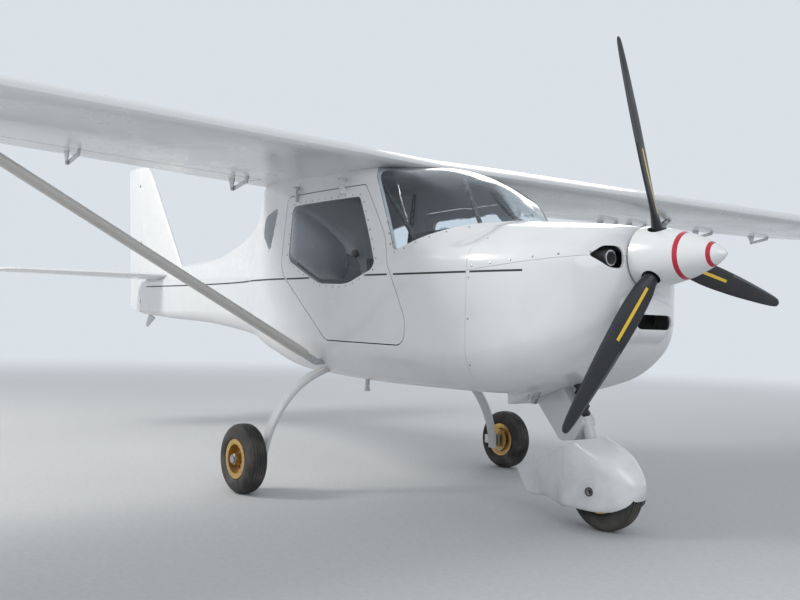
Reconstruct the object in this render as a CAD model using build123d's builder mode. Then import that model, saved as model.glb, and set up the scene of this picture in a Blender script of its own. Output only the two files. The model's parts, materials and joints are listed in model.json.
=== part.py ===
from build123d import *
from math import cos, radians, sin, sqrt, tan
import os

# A two-seat, high-wing, strut-braced ultralight aircraft with a nosewheel.
# +X is forward, +Y is the left wing and +Z is up. The origin is on the ground,
# below the middle of the overall length. All lengths are millimetres.
os.makedirs("parts", exist_ok=True)

# Fits and clearances
pin_fit = 0.05
running_gap = 6.0
seat_gap = 0.3

# Body: stations along the aircraft and wall thicknesses
firewall_x = 2030
tail_joint_x = 100
tail_end_x = -2452
cabin_wall = 22
tail_wall = 9
cowl_wall = 9
bulkhead_thickness = 14
pane_thickness = 5
pane_setback = 3

# Lines of the body. Columns: x, then for the belly corner, the sill, the
# shoulder and the crown: half width, height, corner radius.
body_lines = [
    (firewall_x, (475, 542, 200), (478, 1135, 110), (240, 1262, 200), (0, 1306, 700)),
    (1900, (487, 541, 200), (488, 1135, 100), (190, 1277, 120), (0, 1318, 500)),
    (1800, (496, 541, 205), (497, 1128, 90), (240, 1348, 110), (0, 1442, 460)),
    (1660, (505, 541, 210), (510, 1112, 75), (335, 1440, 115), (0, 1545, 560)),
    (1400, (514, 543, 215), (531, 1068, 65), (415, 1556, 100), (0, 1622, 900)),
    (700, (515, 572, 215), (540, 1050, 60), (462, 1665, 50), (0, 1706, 1500)),
    (250, (440, 655, 180), (478, 1070, 60), (410, 1640, 60), (0, 1690, 1200)),
    (-60, (345, 722, 150), (385, 1090, 60), (265, 1545, 80), (0, 1630, 600)),
    (-330, (285, 757, 130), (318, 1105, 60), (168, 1425, 70), (0, 1492, 330)),
    (-620, (235, 783, 110), (265, 1118, 60), (132, 1335, 60), (0, 1392, 260)),
    (-1100, (170, 818, 90), (195, 1130, 50), (100, 1250, 50), (0, 1296, 220)),
    (-1800, (112, 847, 60), (130, 1140, 40), (62, 1225, 40), (0, 1262, 160)),
    (tail_end_x, (56, 882, 35), (62, 1140, 24), (32, 1205, 25), (0, 1236, 80)),
]
body_chords = (4, 1, 2, 2)
inside_chords = (2, 1, 1, 1)

# Cowling: lines forward of the firewall, and of its chin, in the same columns
cowl_front_x = 2528
chin_front_x = 2612
cowl_lines = [
    (firewall_x, (475, 542, 200), (478, 1135, 110), (240, 1262, 200), (0, 1306, 700)),
    (2250, (432, 592, 180), (425, 1130, 110), (215, 1240, 170), (0, 1280, 600)),
    (2430, (322, 690, 150), (325, 1110, 100), (170, 1220, 120), (0, 1256, 420)),
    (cowl_front_x, (190, 782, 90), (190, 1090, 80), (95, 1200, 60), (0, 1238, 200)),
]
chin_lines = [
    (2380, (165, 738, 50), (225, 830, 50), (190, 960, 50), (0, 1000, 200)),
    (2540, (130, 768, 45), (182, 840, 45), (160, 950, 45), (0, 985, 200)),
    (chin_front_x, (85, 805, 30), (140, 850, 30), (125, 930, 30), (0, 955, 200)),
]
chin_chords = (2, 1, 1, 1)
cowl_seam_rear_z = 1050
cheek_inlet_y = 218
cheek_inlet_width = 96
cheek_inlet_height = 92
chin_inlet_width = 210
chin_inlet_height = 58
chin_inlet_z = 852
outlet_rear_x = 1948
outlet_front_x = 2260
outlet_depth = 60
outlet_width = 300

# Engine and propeller
thrust_z = 1108
engine_rear_x = 2080
engine_front_x = 2440
engine_width = 460
engine_bottom_z = 850
engine_top_z = 1150
engine_mount_radius = 14
shaft_end_x = 2580
shaft_radius = 30
spinner_rear_x = 2536
spinner_tip_x = 2925
spinner_radius = 124
spinner_wall = 4
# Spinner outline: shares of its length ahead of the rear edge, and of its radius
spinner_profile = [(0, 1), (0.14, 0.985), (0.3, 0.925), (0.46, 0.825), (0.62, 0.68), (0.77, 0.5), (0.9, 0.29),
                   (0.97, 0.13), (1, 0)]
prop_x = 2644
prop_radius = 858
blade_count = 3
first_blade_angle = 19.93
hub_radius = 62
hub_length = 74
plate_thickness = 5
plate_gap = 0.6
spacer_radius = 50
blade_root_radius = 26

# Blade sections. Columns: distance from the shaft, chord, thickness, angle
# from the plane of rotation in degrees
blade_sections = [
    (40, 2 * blade_root_radius, 2 * blade_root_radius, 30),
    (120, 58, 44, 32),
    (190, 82, 26, 29),
    (330, 96, 17, 22),
    (600, 86, 11, 15),
    (760, 74, 8, 13),
    (prop_radius, 50, 5, 11),
]

# Wing
span = 9850
wing_leading_x = 1384
wing_chord = 1250
wing_root_z = 1604
dihedral = 1.57
wing_skin = 9
wing_inner_y = 300
rear_spar_u = 880
tip_round = 110

# Wing section as shares of the chord: aft of the leading edge, above it. Each
# arc runs from the last point through the first of its pair to the second.
wing_section_start = (0.022, -0.019)
wing_section_arcs = [
    ((0.000, 0.000), (0.022, 0.024)),
    ((0.145, 0.066), (0.330, 0.083)),
    ((0.680, 0.057), (1.000, 0.004)),
]
wing_section_under = [
    ((0.660, -0.021), (0.300, -0.035)),
    ((0.130, -0.031), (0.022, -0.019)),
]
wing_trailing_low = (1.000, 0.000)

# Flaps and ailerons: axis below the wing, span stations, nose radius
surface_axis_u = 1084
surface_axis_v = -70
surface_nose_radius = 134
surface_gap = 8
flap_stations = (560, 2550)
aileron_stations = (2566, 4640)
flap_brackets = (657, 1556, 2420)
aileron_brackets = (2760, 3640, 4480)
bracket_thickness = 6
surface_lug_gap = 2
surface_pin_radius = 5
surface_boss_radius = 11
arm_outline = [(905, 0), (938, 0), (948, -34), (1090, -60), (1078, -80), (925, -56)]
surface_lug_outline = [(1055, -2), (1125, -2), (1094, -76), (1074, -76)]

# Wing struts
strut_x = 963
strut_foot_y = 508
strut_foot_z = 628
strut_top_y = 2390
strut_chord = 116
strut_thickness = 44
strut_fork_length = 74
strut_top_setback = 46
strut_nose_share = 0.4
strut_lug_thickness = 10
strut_lug_radius = 15
strut_cheek_thickness = 6
strut_bolt_radius = 6

# Tailplane and elevator. Columns: y, leading x, trailing x, thickness
tailplane_z = 1177
tailplane_lines = [
    (0, -1818, -2615, 52),
    (1130, -2140, -2588, 36),
    (1216, -2215, -2570, 20),
]
elevator_axis_x = -2335
elevator_nose_radius = 19
elevator_inner_y = 132
elevator_tube_radius = 15
elevator_tube_gap = 6
elevator_brackets = (320, 900)

# Fin and rudder. Columns: z, leading x, trailing x, thickness, nose radius
# of the rudder
fin_lines = [
    (880, -2300, -2800, 84, 44),
    (1222, -1762, -2834, 84, 27),
    (2050, -2431, -2925, 50, 26),
    (2130, -2545, -2925, 26, 15),
]
fin_root_z = 1222
rudder_axis_bottom = (-2508, 880)
rudder_axis_top = (-2655, 2130)
rudder_bottom_line = [(-2440, 884), (-2880, 962)]
tail_lug_z = 985
fin_lugs_z = (1480, 1960)
lug_thickness = 10
lug_radius = 9
lug_side_gap = 5
lug_pin_radius = 5
lug_pin_bite = 9

# Doors and side windows, in side view (x, z)
door_outline = [(596, 1492), (1262, 1492), (1470, 1235), (1662, 850), (1662, 732), (1060, 742), (622, 1110)]
door_corner_radii = [30, 30, 400, 120, 52, 60, 160]
door_gap = 6
door_glass_outline = [(664, 1438), (1236, 1438), (1462, 1082), (1240, 1010), (1010, 1018), (690, 1150)]
door_glass_radii = [34, 34, 36, 300, 200, 70]
quarter_outline = [(482, 1452), (300, 1415), (300, 1310), (440, 1205)]
quarter_radii = [24, 40, 60, 24]
door_hinge_y = 500
door_hinge_z = 1531
door_hinge_stations = (702, 1116)
door_hinge_radius = 8
door_pin_radius = 4
door_lug_length = 26
door_arm_foot = [(-8, -34), (-46, -52), (-46, -72), (4, -72)]
windscreen_edge = [(1912, 1304), (1560, 1150), (1345, 1500), (1255, 1640), (1230, 1760)]
windscreen_radii = [40, 36, 300, 200, 5]

# Main gear
main_axle_x = 908
main_wheel_y = 872
wheel_radius = 166
tyre_width = 104
bead_radius = 76
rim_flange_radius = 94
rim_width = 92
rim_web_thickness = 12
rim_wall = 7
rim_hub_radius = 27
rim_hole_radius = 10
rim_hole_circle = 50
rim_hole_count = 6
towbar_bore_radius = 6
towbar_bore_depth = 30
leg_path = [(300, 632), (575, 560), (772, 352), (768, 120)]
leg_path_radii = [0, 300, 220, 0]
leg_thickness = 30
leg_width = 84
axle_radius = 12.5
axle_block_y = 794
axle_block_size = 62
axle_end_y = 930
brake_disc_radius = 66
brake_disc_thickness = 4
brake_disc_y = 807
brake_gap = 5

# Nose gear
nose_axle_x = 2384
nose_axle_half = 100
steer_point_x = 2292
steer_point_z = 392
steer_lean = 21
king_pin_radius = 12
king_housing_radius = 25
nose_leg_outline = [(1975, 560), (2168, 344), (2246, 354), (2292, 430), (2150, 600)]
nose_leg_radii = [4, 34, 20, 24, 20]
nose_leg_width = 84
housing_low, housing_high = -30, 62
crown_low, crown_high = -64, -42
collar_radius = 20
spat_top = -36
fork_plate_thickness = 8
fork_inner_y = 62
fork_end_radius = 22
spat_well_radius = 172
spat_wall = 9
spat_well_half = 89
spring_top = (2236, 612)
spring_foot = (2262, 436)
spring_radius = 30
spring_turns = 6

# Spat sections. Columns: x, half width, bottom z, top z, corner radius
spat_lines = [
    (2569, 12, 178, 208, 6),
    (2560, 24, 163, 221, 12),
    (2535, 58, 122, 258, 40),
    (2470, 92, 96, 330, 60),
    (2384, 105, 90, 400, 66),
    (2250, 104, 84, 400, 66),
    (2150, 66, 86, 400, 44),
    (2060, 26, 90, 300, 18),
    (1964, 10, 84, 272, 6),
    (1842, 5, 236, 254, 3),
]

# Cabin fittings
tube_radius = 11
seat_y = 232
seat_width = 400
seat_outline = [(650, 560), (1120, 560), (1135, 800), (900, 765), (760, 830), (640, 1230), (585, 1215), (640, 760)]
seat_radii = [10, 20, 50, 200, 90, 26, 26, 60]
panel_outline = [(1628, 940), (1646, 940), (1662, 1180), (1905, 1262), (1900, 1275), (1640, 1232), (1622, 1215)]
panel_half = 430
console_half = 105
stick_x = 1290
stick_radius = 9
stick_top = (1230, 930)
pedal_x = 1830
pedal_y = (150, 315)

# Tubes of the cabin frame on the left side: the two ends of each
frame_tubes = [
    ((1646, 400, 1158), (1180, 380, 1640)),
    ((1655, 0, 1200), (1420, 0, 1640)),
    ((1180, 0, 1660), (1180, 470, 1600)),
    ((540, 0, 1670), (540, 430, 1640)),
    ((1180, 300, 1640), (540, 300, 1660)),
    ((540, 430, 1640), (430, 410, 640)),
    ((540, 400, 1640), (190, 300, 1560)),
]

# Tail skid, antenna and exhaust
skid_outline = [(-2285, 850), (-2440, 775), (-2452, 792), (-2400, 880)]
skid_thickness = 14
antenna_x = 350
antenna_top = (336, 1910)
exhaust_start = (2240, -130, 860)
exhaust_end = (2085, -130, 505)
exhaust_radius = 22


def rounded_corners(points, radii, inset=0.0):
    """Start, middle and end of the arc at each corner of a closed outline.

    The outline is first moved in by inset, and each corner is then rounded as
    far as its two sides allow.
    """
    corners = [Vector(*point) for point in points]
    moved = []
    for i, corner in enumerate(corners):
        back = (corners[i - 1] - corner).normalized()
        ahead = (corners[(i + 1) % len(corners)] - corner).normalized()
        half_angle = radians(back.get_angle(ahead)) / 2
        moved.append(corner + (back + ahead).normalized() * (inset / sin(half_angle)))
    arcs = []
    for i, (corner, radius) in enumerate(zip(moved, radii)):
        back = moved[i - 1] - corner
        ahead = moved[(i + 1) % len(moved)] - corner
        half_turn = radians(180 - back.get_angle(ahead)) / 2
        wanted = max(radius - inset, 2) * tan(half_turn)
        reach = min(wanted, 0.47 * back.length, 0.47 * ahead.length)
        inward = (back.normalized() + ahead.normalized()).normalized()
        rise = reach / tan(half_turn) * (1 / cos(half_turn) - 1)
        start = corner + back.normalized() * reach
        arcs.append((start, corner + inward * rise, corner + ahead.normalized() * reach))
    return arcs


def rounded_loop(points, radii):
    """Closed outline of lines and arcs."""
    arcs = rounded_corners(points, radii)
    for i, (start, middle, end) in enumerate(arcs):
        ThreePointArc(start, middle, end)
        Line(end, arcs[(i + 1) % len(arcs)][0])


def body_section(x, half, chords, inset):
    """Section across the body at x. Each corner's arc is followed by a few chords."""
    both = list(half) + list(half[-2::-1])
    sides = [1] * (len(half) - 1) + [1] + [-1] * (len(half) - 1)
    counts = list(chords) + list(chords[-2::-1])
    points = [(side * w, z) for side, (w, z, _) in zip(sides, both)]
    outline = []
    for arc, count in zip(rounded_corners(points, [r for _, _, r in both], inset), counts):
        bend = Edge.make_three_point_arc(*arc)
        outline += [bend @ (step / count) for step in range(count + 1)]
    with BuildSketch(Plane.YZ.offset(x)) as section:
        with BuildLine():
            Polyline(*outline, close=True)
        make_face()
    return section.sketch


def body_form(lines, chords, inset=0.0):
    with BuildPart() as form:
        loft([body_section(x, half, chords, inset) for x, *half in lines], ruled=True)
    return form.part


def side_prism(outline, radii, y_low, y_high, grow=0.0):
    """Prism across the aircraft from an outline in side view, moved out by grow.

    The outline's corners are sharp where radii is None.
    """
    with BuildPart() as prism:
        with BuildSketch(Plane.XZ.offset(-y_high)) as face:
            with BuildLine():
                if radii:
                    rounded_loop(outline, radii)
                else:
                    Polyline(*outline, close=True)
            make_face()
            if grow:
                offset(amount=grow)
        extrude(amount=y_high - y_low)
    return prism.part


def block(low, high):
    """Box from its lowest to its highest corner."""
    with BuildPart() as box:
        with Locations(tuple((a + b) / 2 for a, b in zip(low, high))):
            Box(*(b - a for a, b in zip(low, high)))
    return box.part


def foil_section(plane, chord, thickness, trailing=5.0):
    """Symmetrical streamlined section, leading edge at the plane's origin."""
    shares = (0.0, 0.02, 0.08, 0.2, 0.38, 0.65)
    half = [0.5 * thickness * (2.97 * sqrt(u) - 1.26 * u - 3.52 * u**2 + 2.84 * u**3 - 1.04 * u**4)
            for u in shares]
    top = [(u * chord, v) for u, v in zip(shares, half)] + [(chord, trailing / 2)]
    with BuildSketch(plane) as section:
        with BuildLine():
            Polyline(*top, *[(u, -v) for u, v in top[:0:-1]], close=True)
        make_face()
    return section.sketch


def rod(start, end, radius):
    """Round bar from one point to another."""
    start, end = Vector(*start), Vector(*end)
    with BuildPart() as bar:
        with BuildSketch(Plane(origin=start, z_dir=end - start)):
            Circle(radius)
        extrude(amount=(end - start).length)
    return bar.part


def pin_lug(plane, reach):
    """Fixed half of a surface's hinge: a lug on the axis, with its pin."""
    with BuildPart() as lug:
        with BuildSketch(plane.offset(-lug_thickness / 2)):
            Circle(lug_radius)
            with Locations((reach / 2, 0)):
                Rectangle(reach, 2 * lug_radius)
        extrude(amount=lug_thickness)
        pin_length = lug_thickness + 2 * (lug_side_gap + lug_pin_bite)
        with BuildSketch(plane.offset(-pin_length / 2)):
            Circle(lug_pin_radius)
        extrude(amount=pin_length)
    return lug.part


def lug_notch(plane, reach):
    """Room for such a lug in the moving surface, with the bore for its pin."""
    with BuildPart() as notch:
        height = lug_thickness + 2 * lug_side_gap
        rear = lug_radius + lug_side_gap
        with BuildSketch(plane.offset(-height / 2)):
            with Locations(((reach - rear) / 2, 0)):
                Rectangle(reach + rear, 200)
        extrude(amount=height)
        bore_length = height + 2 * lug_pin_bite + 2
        with BuildSketch(plane.offset(-bore_length / 2)):
            Circle(lug_pin_radius + pin_fit)
        extrude(amount=bore_length)
    return notch.part


def mirrored(part):
    with BuildPart() as other:
        add(part.mirror(Plane.XZ), clean=False)
    return other.part


def save(part, name):
    part.label = name
    export_step(part, f"parts/{name}.step")


def save_pair(part, name):
    """The left piece and its mirror image on the right."""
    save(part, f"{name}_left")
    save(mirrored(part), f"{name}_right")


# Forms of the whole body, outside and inside
body_outer = body_form(body_lines, body_chords)
cabin_inner = body_form(body_lines[:9], inside_chords, cabin_wall)
pane_inner = body_form(body_lines[:8], body_chords, pane_thickness)
tail_inner = body_form(body_lines[6:], inside_chords, tail_wall)

with BuildPart() as cabin_hollow:
    add(cabin_inner)
    add(block((tail_joint_x + bulkhead_thickness, -900, 400), (firewall_x - bulkhead_thickness, 900, 1900)),
        mode=Mode.INTERSECT)

with BuildPart() as cabin_wall_form:
    add(body_outer)
    add(block((tail_joint_x, -900, 400), (firewall_x, 900, 1900)), mode=Mode.INTERSECT)
    add(cabin_hollow.part, mode=Mode.SUBTRACT)

with BuildPart() as pane_form:
    add(body_outer)
    add(block((tail_joint_x + 150, -900, 1000), (firewall_x - 100, 900, 1900)), mode=Mode.INTERSECT)
    add(pane_inner, mode=Mode.SUBTRACT)

screen_ends = [(2080, 1760), (2080, 1330)]
screen_space = side_prism(windscreen_edge + screen_ends, windscreen_radii + [5, 5], -800, 800)
door_space = side_prism(door_outline, door_corner_radii, 330, 800)
door_hole = side_prism(door_outline, door_corner_radii, 330, 800, door_gap)
glass_space = side_prism(door_glass_outline, door_glass_radii, 330, 800)
quarter_space = side_prism(quarter_outline, quarter_radii, 200, 800)

# Door hinges: a lug on the roof rail and one on the door, side by side
hinge_plane = [Plane(origin=(x, door_hinge_y, door_hinge_z), x_dir=(0, 1, 0), z_dir=(1, 0, 0))
               for x in door_hinge_stations]
door_lug_half = door_lug_length / 2

with BuildPart() as rail_lugs:
    for plane in hinge_plane:
        with BuildSketch(plane.offset(-door_lug_half)):
            with BuildLine():
                rounded_loop([(door_hinge_radius, door_hinge_radius), (-60, door_hinge_radius),
                              (-60, -door_hinge_radius), (door_hinge_radius, -door_hinge_radius)],
                             [door_hinge_radius, 1, 1, door_hinge_radius])
            make_face()
        extrude(amount=door_lug_half - 1)
        with BuildSketch(plane.offset(-door_lug_half)):
            Circle(door_pin_radius)
        extrude(amount=door_lug_length)
    add(body_outer, mode=Mode.SUBTRACT)

with BuildPart() as door_left:
    add(cabin_wall_form.part)
    add(door_space, mode=Mode.INTERSECT)
    add(glass_space, mode=Mode.SUBTRACT)
    for plane in hinge_plane:
        with BuildSketch(plane.offset(1)):
            with BuildLine():
                rounded_loop([(door_hinge_radius, door_hinge_radius), (-door_hinge_radius, door_hinge_radius)]
                             + door_arm_foot, [door_hinge_radius, door_hinge_radius, 2, 2, 2, 2])
            make_face()
        extrude(amount=door_lug_half - 1)
        with BuildSketch(plane):
            Circle(door_pin_radius + pin_fit)
        extrude(amount=door_lug_length, mode=Mode.SUBTRACT)

with BuildPart() as windscreen:
    add(pane_form.part)
    add(screen_space, mode=Mode.INTERSECT)


def side_window(space):
    """Pane that closes an opening on the left, as thick across the aircraft everywhere."""
    with BuildPart() as pane:
        add(body_outer)
        add(space, mode=Mode.INTERSECT)
        add(body_outer.moved(Location((0, -pane_thickness, 0))), mode=Mode.SUBTRACT)
    return pane.part


save_pair(door_left.part, "door")
save_pair(side_window(glass_space), "door_window")
save_pair(side_window(quarter_space), "quarter_window")
save(windscreen.part, "windscreen")


# Tail cone, open at its front end, where the cabin's bulkhead closes it
elevator_axis = Plane(origin=(elevator_axis_x, 0, tailplane_z), x_dir=(1, 0, 0), z_dir=(0, 1, 0))
rudder_low, rudder_high = (Vector(x, 0, z) for x, z in (rudder_axis_bottom, rudder_axis_top))
rudder_line = (rudder_high - rudder_low).normalized()


def rudder_hinge(z):
    """Plane square to the rudder's axis at height z, with its x direction forward."""
    share = (z - rudder_low.Z) / (rudder_high.Z - rudder_low.Z)
    origin = rudder_low + (rudder_high - rudder_low) * share
    return Plane(origin=origin, x_dir=Vector(0, 1, 0).cross(rudder_line), z_dir=rudder_line)


tail_lug_reach = tail_end_x - rudder_hinge(tail_lug_z).origin.X + 12
fin_lug_reach = fin_lines[1][4] + running_gap + 12
elevator_lug_reach = elevator_nose_radius + running_gap + 12

with BuildPart() as tail_hollow:
    add(tail_inner)
    add(block((tail_end_x + 20, -900, 400), (tail_joint_x, 900, 1900)), mode=Mode.INTERSECT)

with BuildPart() as tail_cone:
    add(body_outer)
    add(block((tail_end_x - 50, -900, 400), (tail_joint_x, 900, 1900)), mode=Mode.INTERSECT)
    add(tail_hollow.part, mode=Mode.SUBTRACT)
    with BuildSketch(elevator_axis.offset(-200)):
        Circle(elevator_tube_radius + elevator_tube_gap)
    extrude(amount=400, mode=Mode.SUBTRACT)
    add(pin_lug(rudder_hinge(tail_lug_z), tail_lug_reach))

save(tail_cone.part, "tail_cone")

# Fin and rudder: one streamlined form, parted round the rudder's axis
with BuildPart() as fin_form:
    loft([foil_section(Plane(origin=(lead, 0, z), x_dir=(-1, 0, 0), z_dir=(0, 0, 1)), lead - trail, thick)
          for z, lead, trail, thick, _ in fin_lines], ruled=True)


def rudder_space(gap):
    """Room that the rudder takes: round its axis, and all that lies aft of it."""
    with BuildPart() as nose:
        for low, high in zip(fin_lines, fin_lines[1:]):
            rings = []
            for z, *_, radius in (low, high):
                with BuildSketch(Plane.XY.offset(z)) as ring:
                    with Locations((rudder_hinge(z).origin.X, 0)):
                        Circle(radius + gap)
                rings.append(ring.sketch)
            loft(rings, ruled=True)
    low_x, high_x = rudder_hinge(800).origin.X, rudder_hinge(2200).origin.X
    behind = side_prism([(low_x, 800), (high_x, 2200), (-3100, 2200), (-3100, 800)], None, -100, 100)
    return nose.part, behind


with BuildPart() as rudder:
    nose, behind = rudder_space(0)
    add(nose)
    add(behind)
    add(fin_form.part, mode=Mode.INTERSECT)
    below = rudder_bottom_line + [(-2880, 800), (-2440, 800)]
    add(side_prism(below, None, -100, 100), mode=Mode.SUBTRACT)
    for z in (tail_lug_z, *fin_lugs_z):
        add(lug_notch(rudder_hinge(z), 80), mode=Mode.SUBTRACT)

with BuildPart() as fin:
    add(fin_form.part)
    add(block((-3000, -100, 700), (-1000, 100, fin_root_z)), mode=Mode.SUBTRACT)
    for space in rudder_space(running_gap):
        add(space, mode=Mode.SUBTRACT)
    add(body_outer, mode=Mode.SUBTRACT)
    for z in fin_lugs_z:
        add(pin_lug(rudder_hinge(z), fin_lug_reach))

save(fin.part, "fin")
save(rudder.part, "rudder")

# Tailplane and elevator, parted in the same way
with BuildPart() as half_tail_form:
    loft([foil_section(Plane(origin=(lead, y, tailplane_z), x_dir=(-1, 0, 0), z_dir=(0, 1, 0)),
                       lead - trail, thick) for y, lead, trail, thick in tailplane_lines], ruled=True)


def elevator_space(gap, low, high):
    """Room that the elevator takes: round its axis, and all that lies aft of it."""
    with BuildPart() as space:
        with BuildSketch(elevator_axis.offset(low)):
            Circle(elevator_nose_radius + gap)
            with Locations((-200, 0)):
                Rectangle(400, 400)
        extrude(amount=high - low)
    return space.part


with BuildPart() as half_elevator:
    add(half_tail_form.part)
    add(elevator_space(0, elevator_inner_y, 1300), mode=Mode.INTERSECT)
    for y in elevator_brackets:
        add(lug_notch(elevator_axis.offset(y), 80), mode=Mode.SUBTRACT)

with BuildPart() as elevator:
    with BuildSketch(elevator_axis.offset(-elevator_inner_y - 1)):
        Circle(elevator_tube_radius)
    extrude(amount=2 * elevator_inner_y + 2)
    add(half_elevator.part)
    add(mirrored(half_elevator.part))

with BuildPart() as half_tailplane:
    add(half_tail_form.part)
    add(elevator_space(running_gap, -10, 1300), mode=Mode.SUBTRACT)
    add(body_outer, mode=Mode.SUBTRACT)
    for y in elevator_brackets:
        add(pin_lug(elevator_axis.offset(y), elevator_lug_reach))

with BuildPart() as tailplane:
    add(half_tailplane.part.solids().sort_by(Axis.Y)[-1])
    add(mirrored(half_tailplane.part).solids().sort_by(Axis.Y)[0])

save(tailplane.part, "tailplane")
save(elevator.part, "elevator")

with BuildPart() as tail_skid:
    add(side_prism(skid_outline, [4, 8, 4, 4], -skid_thickness / 2, skid_thickness / 2))
    add(body_outer, mode=Mode.SUBTRACT)

save(tail_skid.part, "tail_skid")

# Cowling, in two halves that meet along a seam from the firewall to the spinner
cowl_outer = body_form(cowl_lines, body_chords)
cowl_inner = body_form(cowl_lines, inside_chords, cowl_wall)
chin_outer = body_form(chin_lines, chin_chords)
chin_inner = body_form(chin_lines, chin_chords, cowl_wall)
seam = [(firewall_x - 10, cowl_seam_rear_z), (cowl_front_x, thrust_z), (2700, thrust_z), (2700, 1500),
        (firewall_x - 10, 1500)]
scoop_outline = [(outlet_front_x, 600), (outlet_rear_x, 541 - outlet_depth), (outlet_rear_x, 541), (2100, 660),
                 (outlet_front_x, 660)]
scoop_inside = [(outlet_front_x - 40, 597), (outlet_rear_x - 20, 552 - outlet_depth), (outlet_rear_x - 20, 534),
                (2031, 534), (2031, 640), (outlet_front_x - 40, 640)]

with BuildPart() as cowl_room:
    add(cowl_inner)
    add(block((firewall_x - 5, -600, 400), (cowl_front_x - cowl_wall, 600, 1400)), mode=Mode.INTERSECT)
    add(chin_inner)
    add(block((chin_front_x - cowl_wall, -600, 400), (3000, 600, 1400)), mode=Mode.SUBTRACT)
    add(side_prism(scoop_inside, None, cowl_wall - outlet_width / 2, outlet_width / 2 - cowl_wall))

with BuildPart() as cowling:
    add(cowl_outer)
    add(chin_outer)
    add(side_prism(scoop_outline, None, -outlet_width / 2, outlet_width / 2))
    add(cowl_room.part, mode=Mode.SUBTRACT)
    with BuildSketch(Plane.YZ.offset(2380)):
        with Locations((cheek_inlet_y, thrust_z - 18), (-cheek_inlet_y, thrust_z - 18)):
            RectangleRounded(cheek_inlet_width, cheek_inlet_height, 24)
    extrude(amount=200, mode=Mode.SUBTRACT)
    with BuildSketch(Plane.YZ.offset(2560)):
        with Locations((0, chin_inlet_z)):
            RectangleRounded(chin_inlet_width, chin_inlet_height, 20)
    extrude(amount=100, mode=Mode.SUBTRACT)
    with BuildSketch(Plane.YZ.offset(2480)):
        with Locations((0, thrust_z)):
            Circle(spacer_radius + 2 * running_gap)
    extrude(amount=100, mode=Mode.SUBTRACT)
    add(block((outlet_rear_x - 30, -600, 541), (firewall_x, 600, 1400)), mode=Mode.SUBTRACT)

with BuildPart() as cowl_upper:
    add(cowling.part)
    add(side_prism(seam, None, -600, 600), mode=Mode.INTERSECT)

nose_leg_form = side_prism(nose_leg_outline, nose_leg_radii, -nose_leg_width / 2, nose_leg_width / 2)

with BuildPart() as cowl_lower:
    add(cowling.part)
    add(side_prism(seam, None, -600, 600), mode=Mode.SUBTRACT)
    add(nose_leg_form, mode=Mode.SUBTRACT)
    add(rod(exhaust_start, exhaust_end, exhaust_radius + 2), mode=Mode.SUBTRACT)

save(cowl_upper.part, "cowl_upper")
save(cowl_lower.part, "cowl_lower")

# Engine: a plain block on four feet, with its propeller shaft
with BuildPart() as engine_block:
    add(block((engine_rear_x, -engine_width / 2, engine_bottom_z), (engine_front_x, engine_width / 2, engine_top_z)))
    with BuildSketch(Plane.YZ.offset(firewall_x)):
        with Locations((0, (engine_bottom_z + engine_top_z) / 2)):
            with GridLocations(engine_width - 80, engine_top_z - engine_bottom_z - 80, 2, 2):
                Circle(engine_mount_radius)
    extrude(amount=engine_rear_x - firewall_x)
    with BuildSketch(Plane.YZ.offset(engine_front_x)):
        with Locations((0, thrust_z)):
            Circle(shaft_radius)
    extrude(amount=shaft_end_x - engine_front_x)

save(engine_block.part, "engine_block")

with BuildPart() as exhaust_pipe:
    add(rod(exhaust_start, exhaust_end, exhaust_radius))
    add(rod(exhaust_end, exhaust_start, exhaust_radius - 3), mode=Mode.SUBTRACT)
    add(block((1900, -300, engine_bottom_z), (2400, 300, 1000)), mode=Mode.SUBTRACT)
    add(nose_leg_form, mode=Mode.SUBTRACT)

save(exhaust_pipe.part, "exhaust_pipe")

# Propeller: hub, blades lofted from two-arc sections, spinner and its back plate
prop_plane = Plane(origin=(prop_x, 0, thrust_z), x_dir=(0, 1, 0), z_dir=(1, 0, 0))


def blade(angle):
    """One blade, turned by angle about the shaft from straight up, to the right first."""
    outward = Vector(0, -sin(radians(angle)), cos(radians(angle)))
    ahead = Vector(1, 0, 0).cross(outward)
    slices = []
    for reach, chord, thick, pitch in blade_sections:
        along = ahead * cos(radians(pitch)) + Vector(1, 0, 0) * sin(radians(pitch))
        centre = Vector(prop_x, 0, thrust_z) + outward * reach
        with BuildSketch(Plane(origin=centre, x_dir=along, z_dir=outward)) as piece:
            with BuildLine():
                ThreePointArc((-chord / 2, 0), (0, thick / 2), (chord / 2, 0))
                ThreePointArc((chord / 2, 0), (0, -thick / 2), (-chord / 2, 0))
            make_face()
        slices.append(piece.sketch)
    with BuildPart() as one:
        loft(slices, ruled=True)
    return one.part


blade_angles = [first_blade_angle + turn * 360 / blade_count for turn in range(blade_count)]

with BuildPart() as propeller:
    with BuildSketch(prop_plane.offset(-hub_length / 2)):
        Circle(hub_radius)
    extrude(amount=hub_length)
    for angle in blade_angles:
        add(blade(angle))

spinner_length = spinner_tip_x - spinner_rear_x


def blade_way(angle):
    return Vector(0, -sin(radians(angle)), cos(radians(angle)))


with BuildPart() as spinner:
    between = blade_way(first_blade_angle + 180 / blade_count)
    with BuildSketch(Plane(origin=(0, 0, thrust_z), x_dir=(1, 0, 0), z_dir=Vector(1, 0, 0).cross(between))):
        with BuildLine():
            outside = [(spinner_rear_x + u * spinner_length, v * spinner_radius) for u, v in spinner_profile]
            inside = [(spinner_rear_x + u * (spinner_length - 3 * spinner_wall), v * (spinner_radius - spinner_wall))
                      for u, v in spinner_profile]
            Polyline(*outside, *inside[::-1], close=True)
        make_face()
    revolve(axis=Axis((0, 0, thrust_z), (1, 0, 0)))
    for angle in blade_angles:
        with BuildSketch(Plane(origin=(prop_x, 0, thrust_z), z_dir=blade_way(angle))):
            Circle(blade_root_radius + 12)
        extrude(amount=200, mode=Mode.SUBTRACT)

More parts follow.
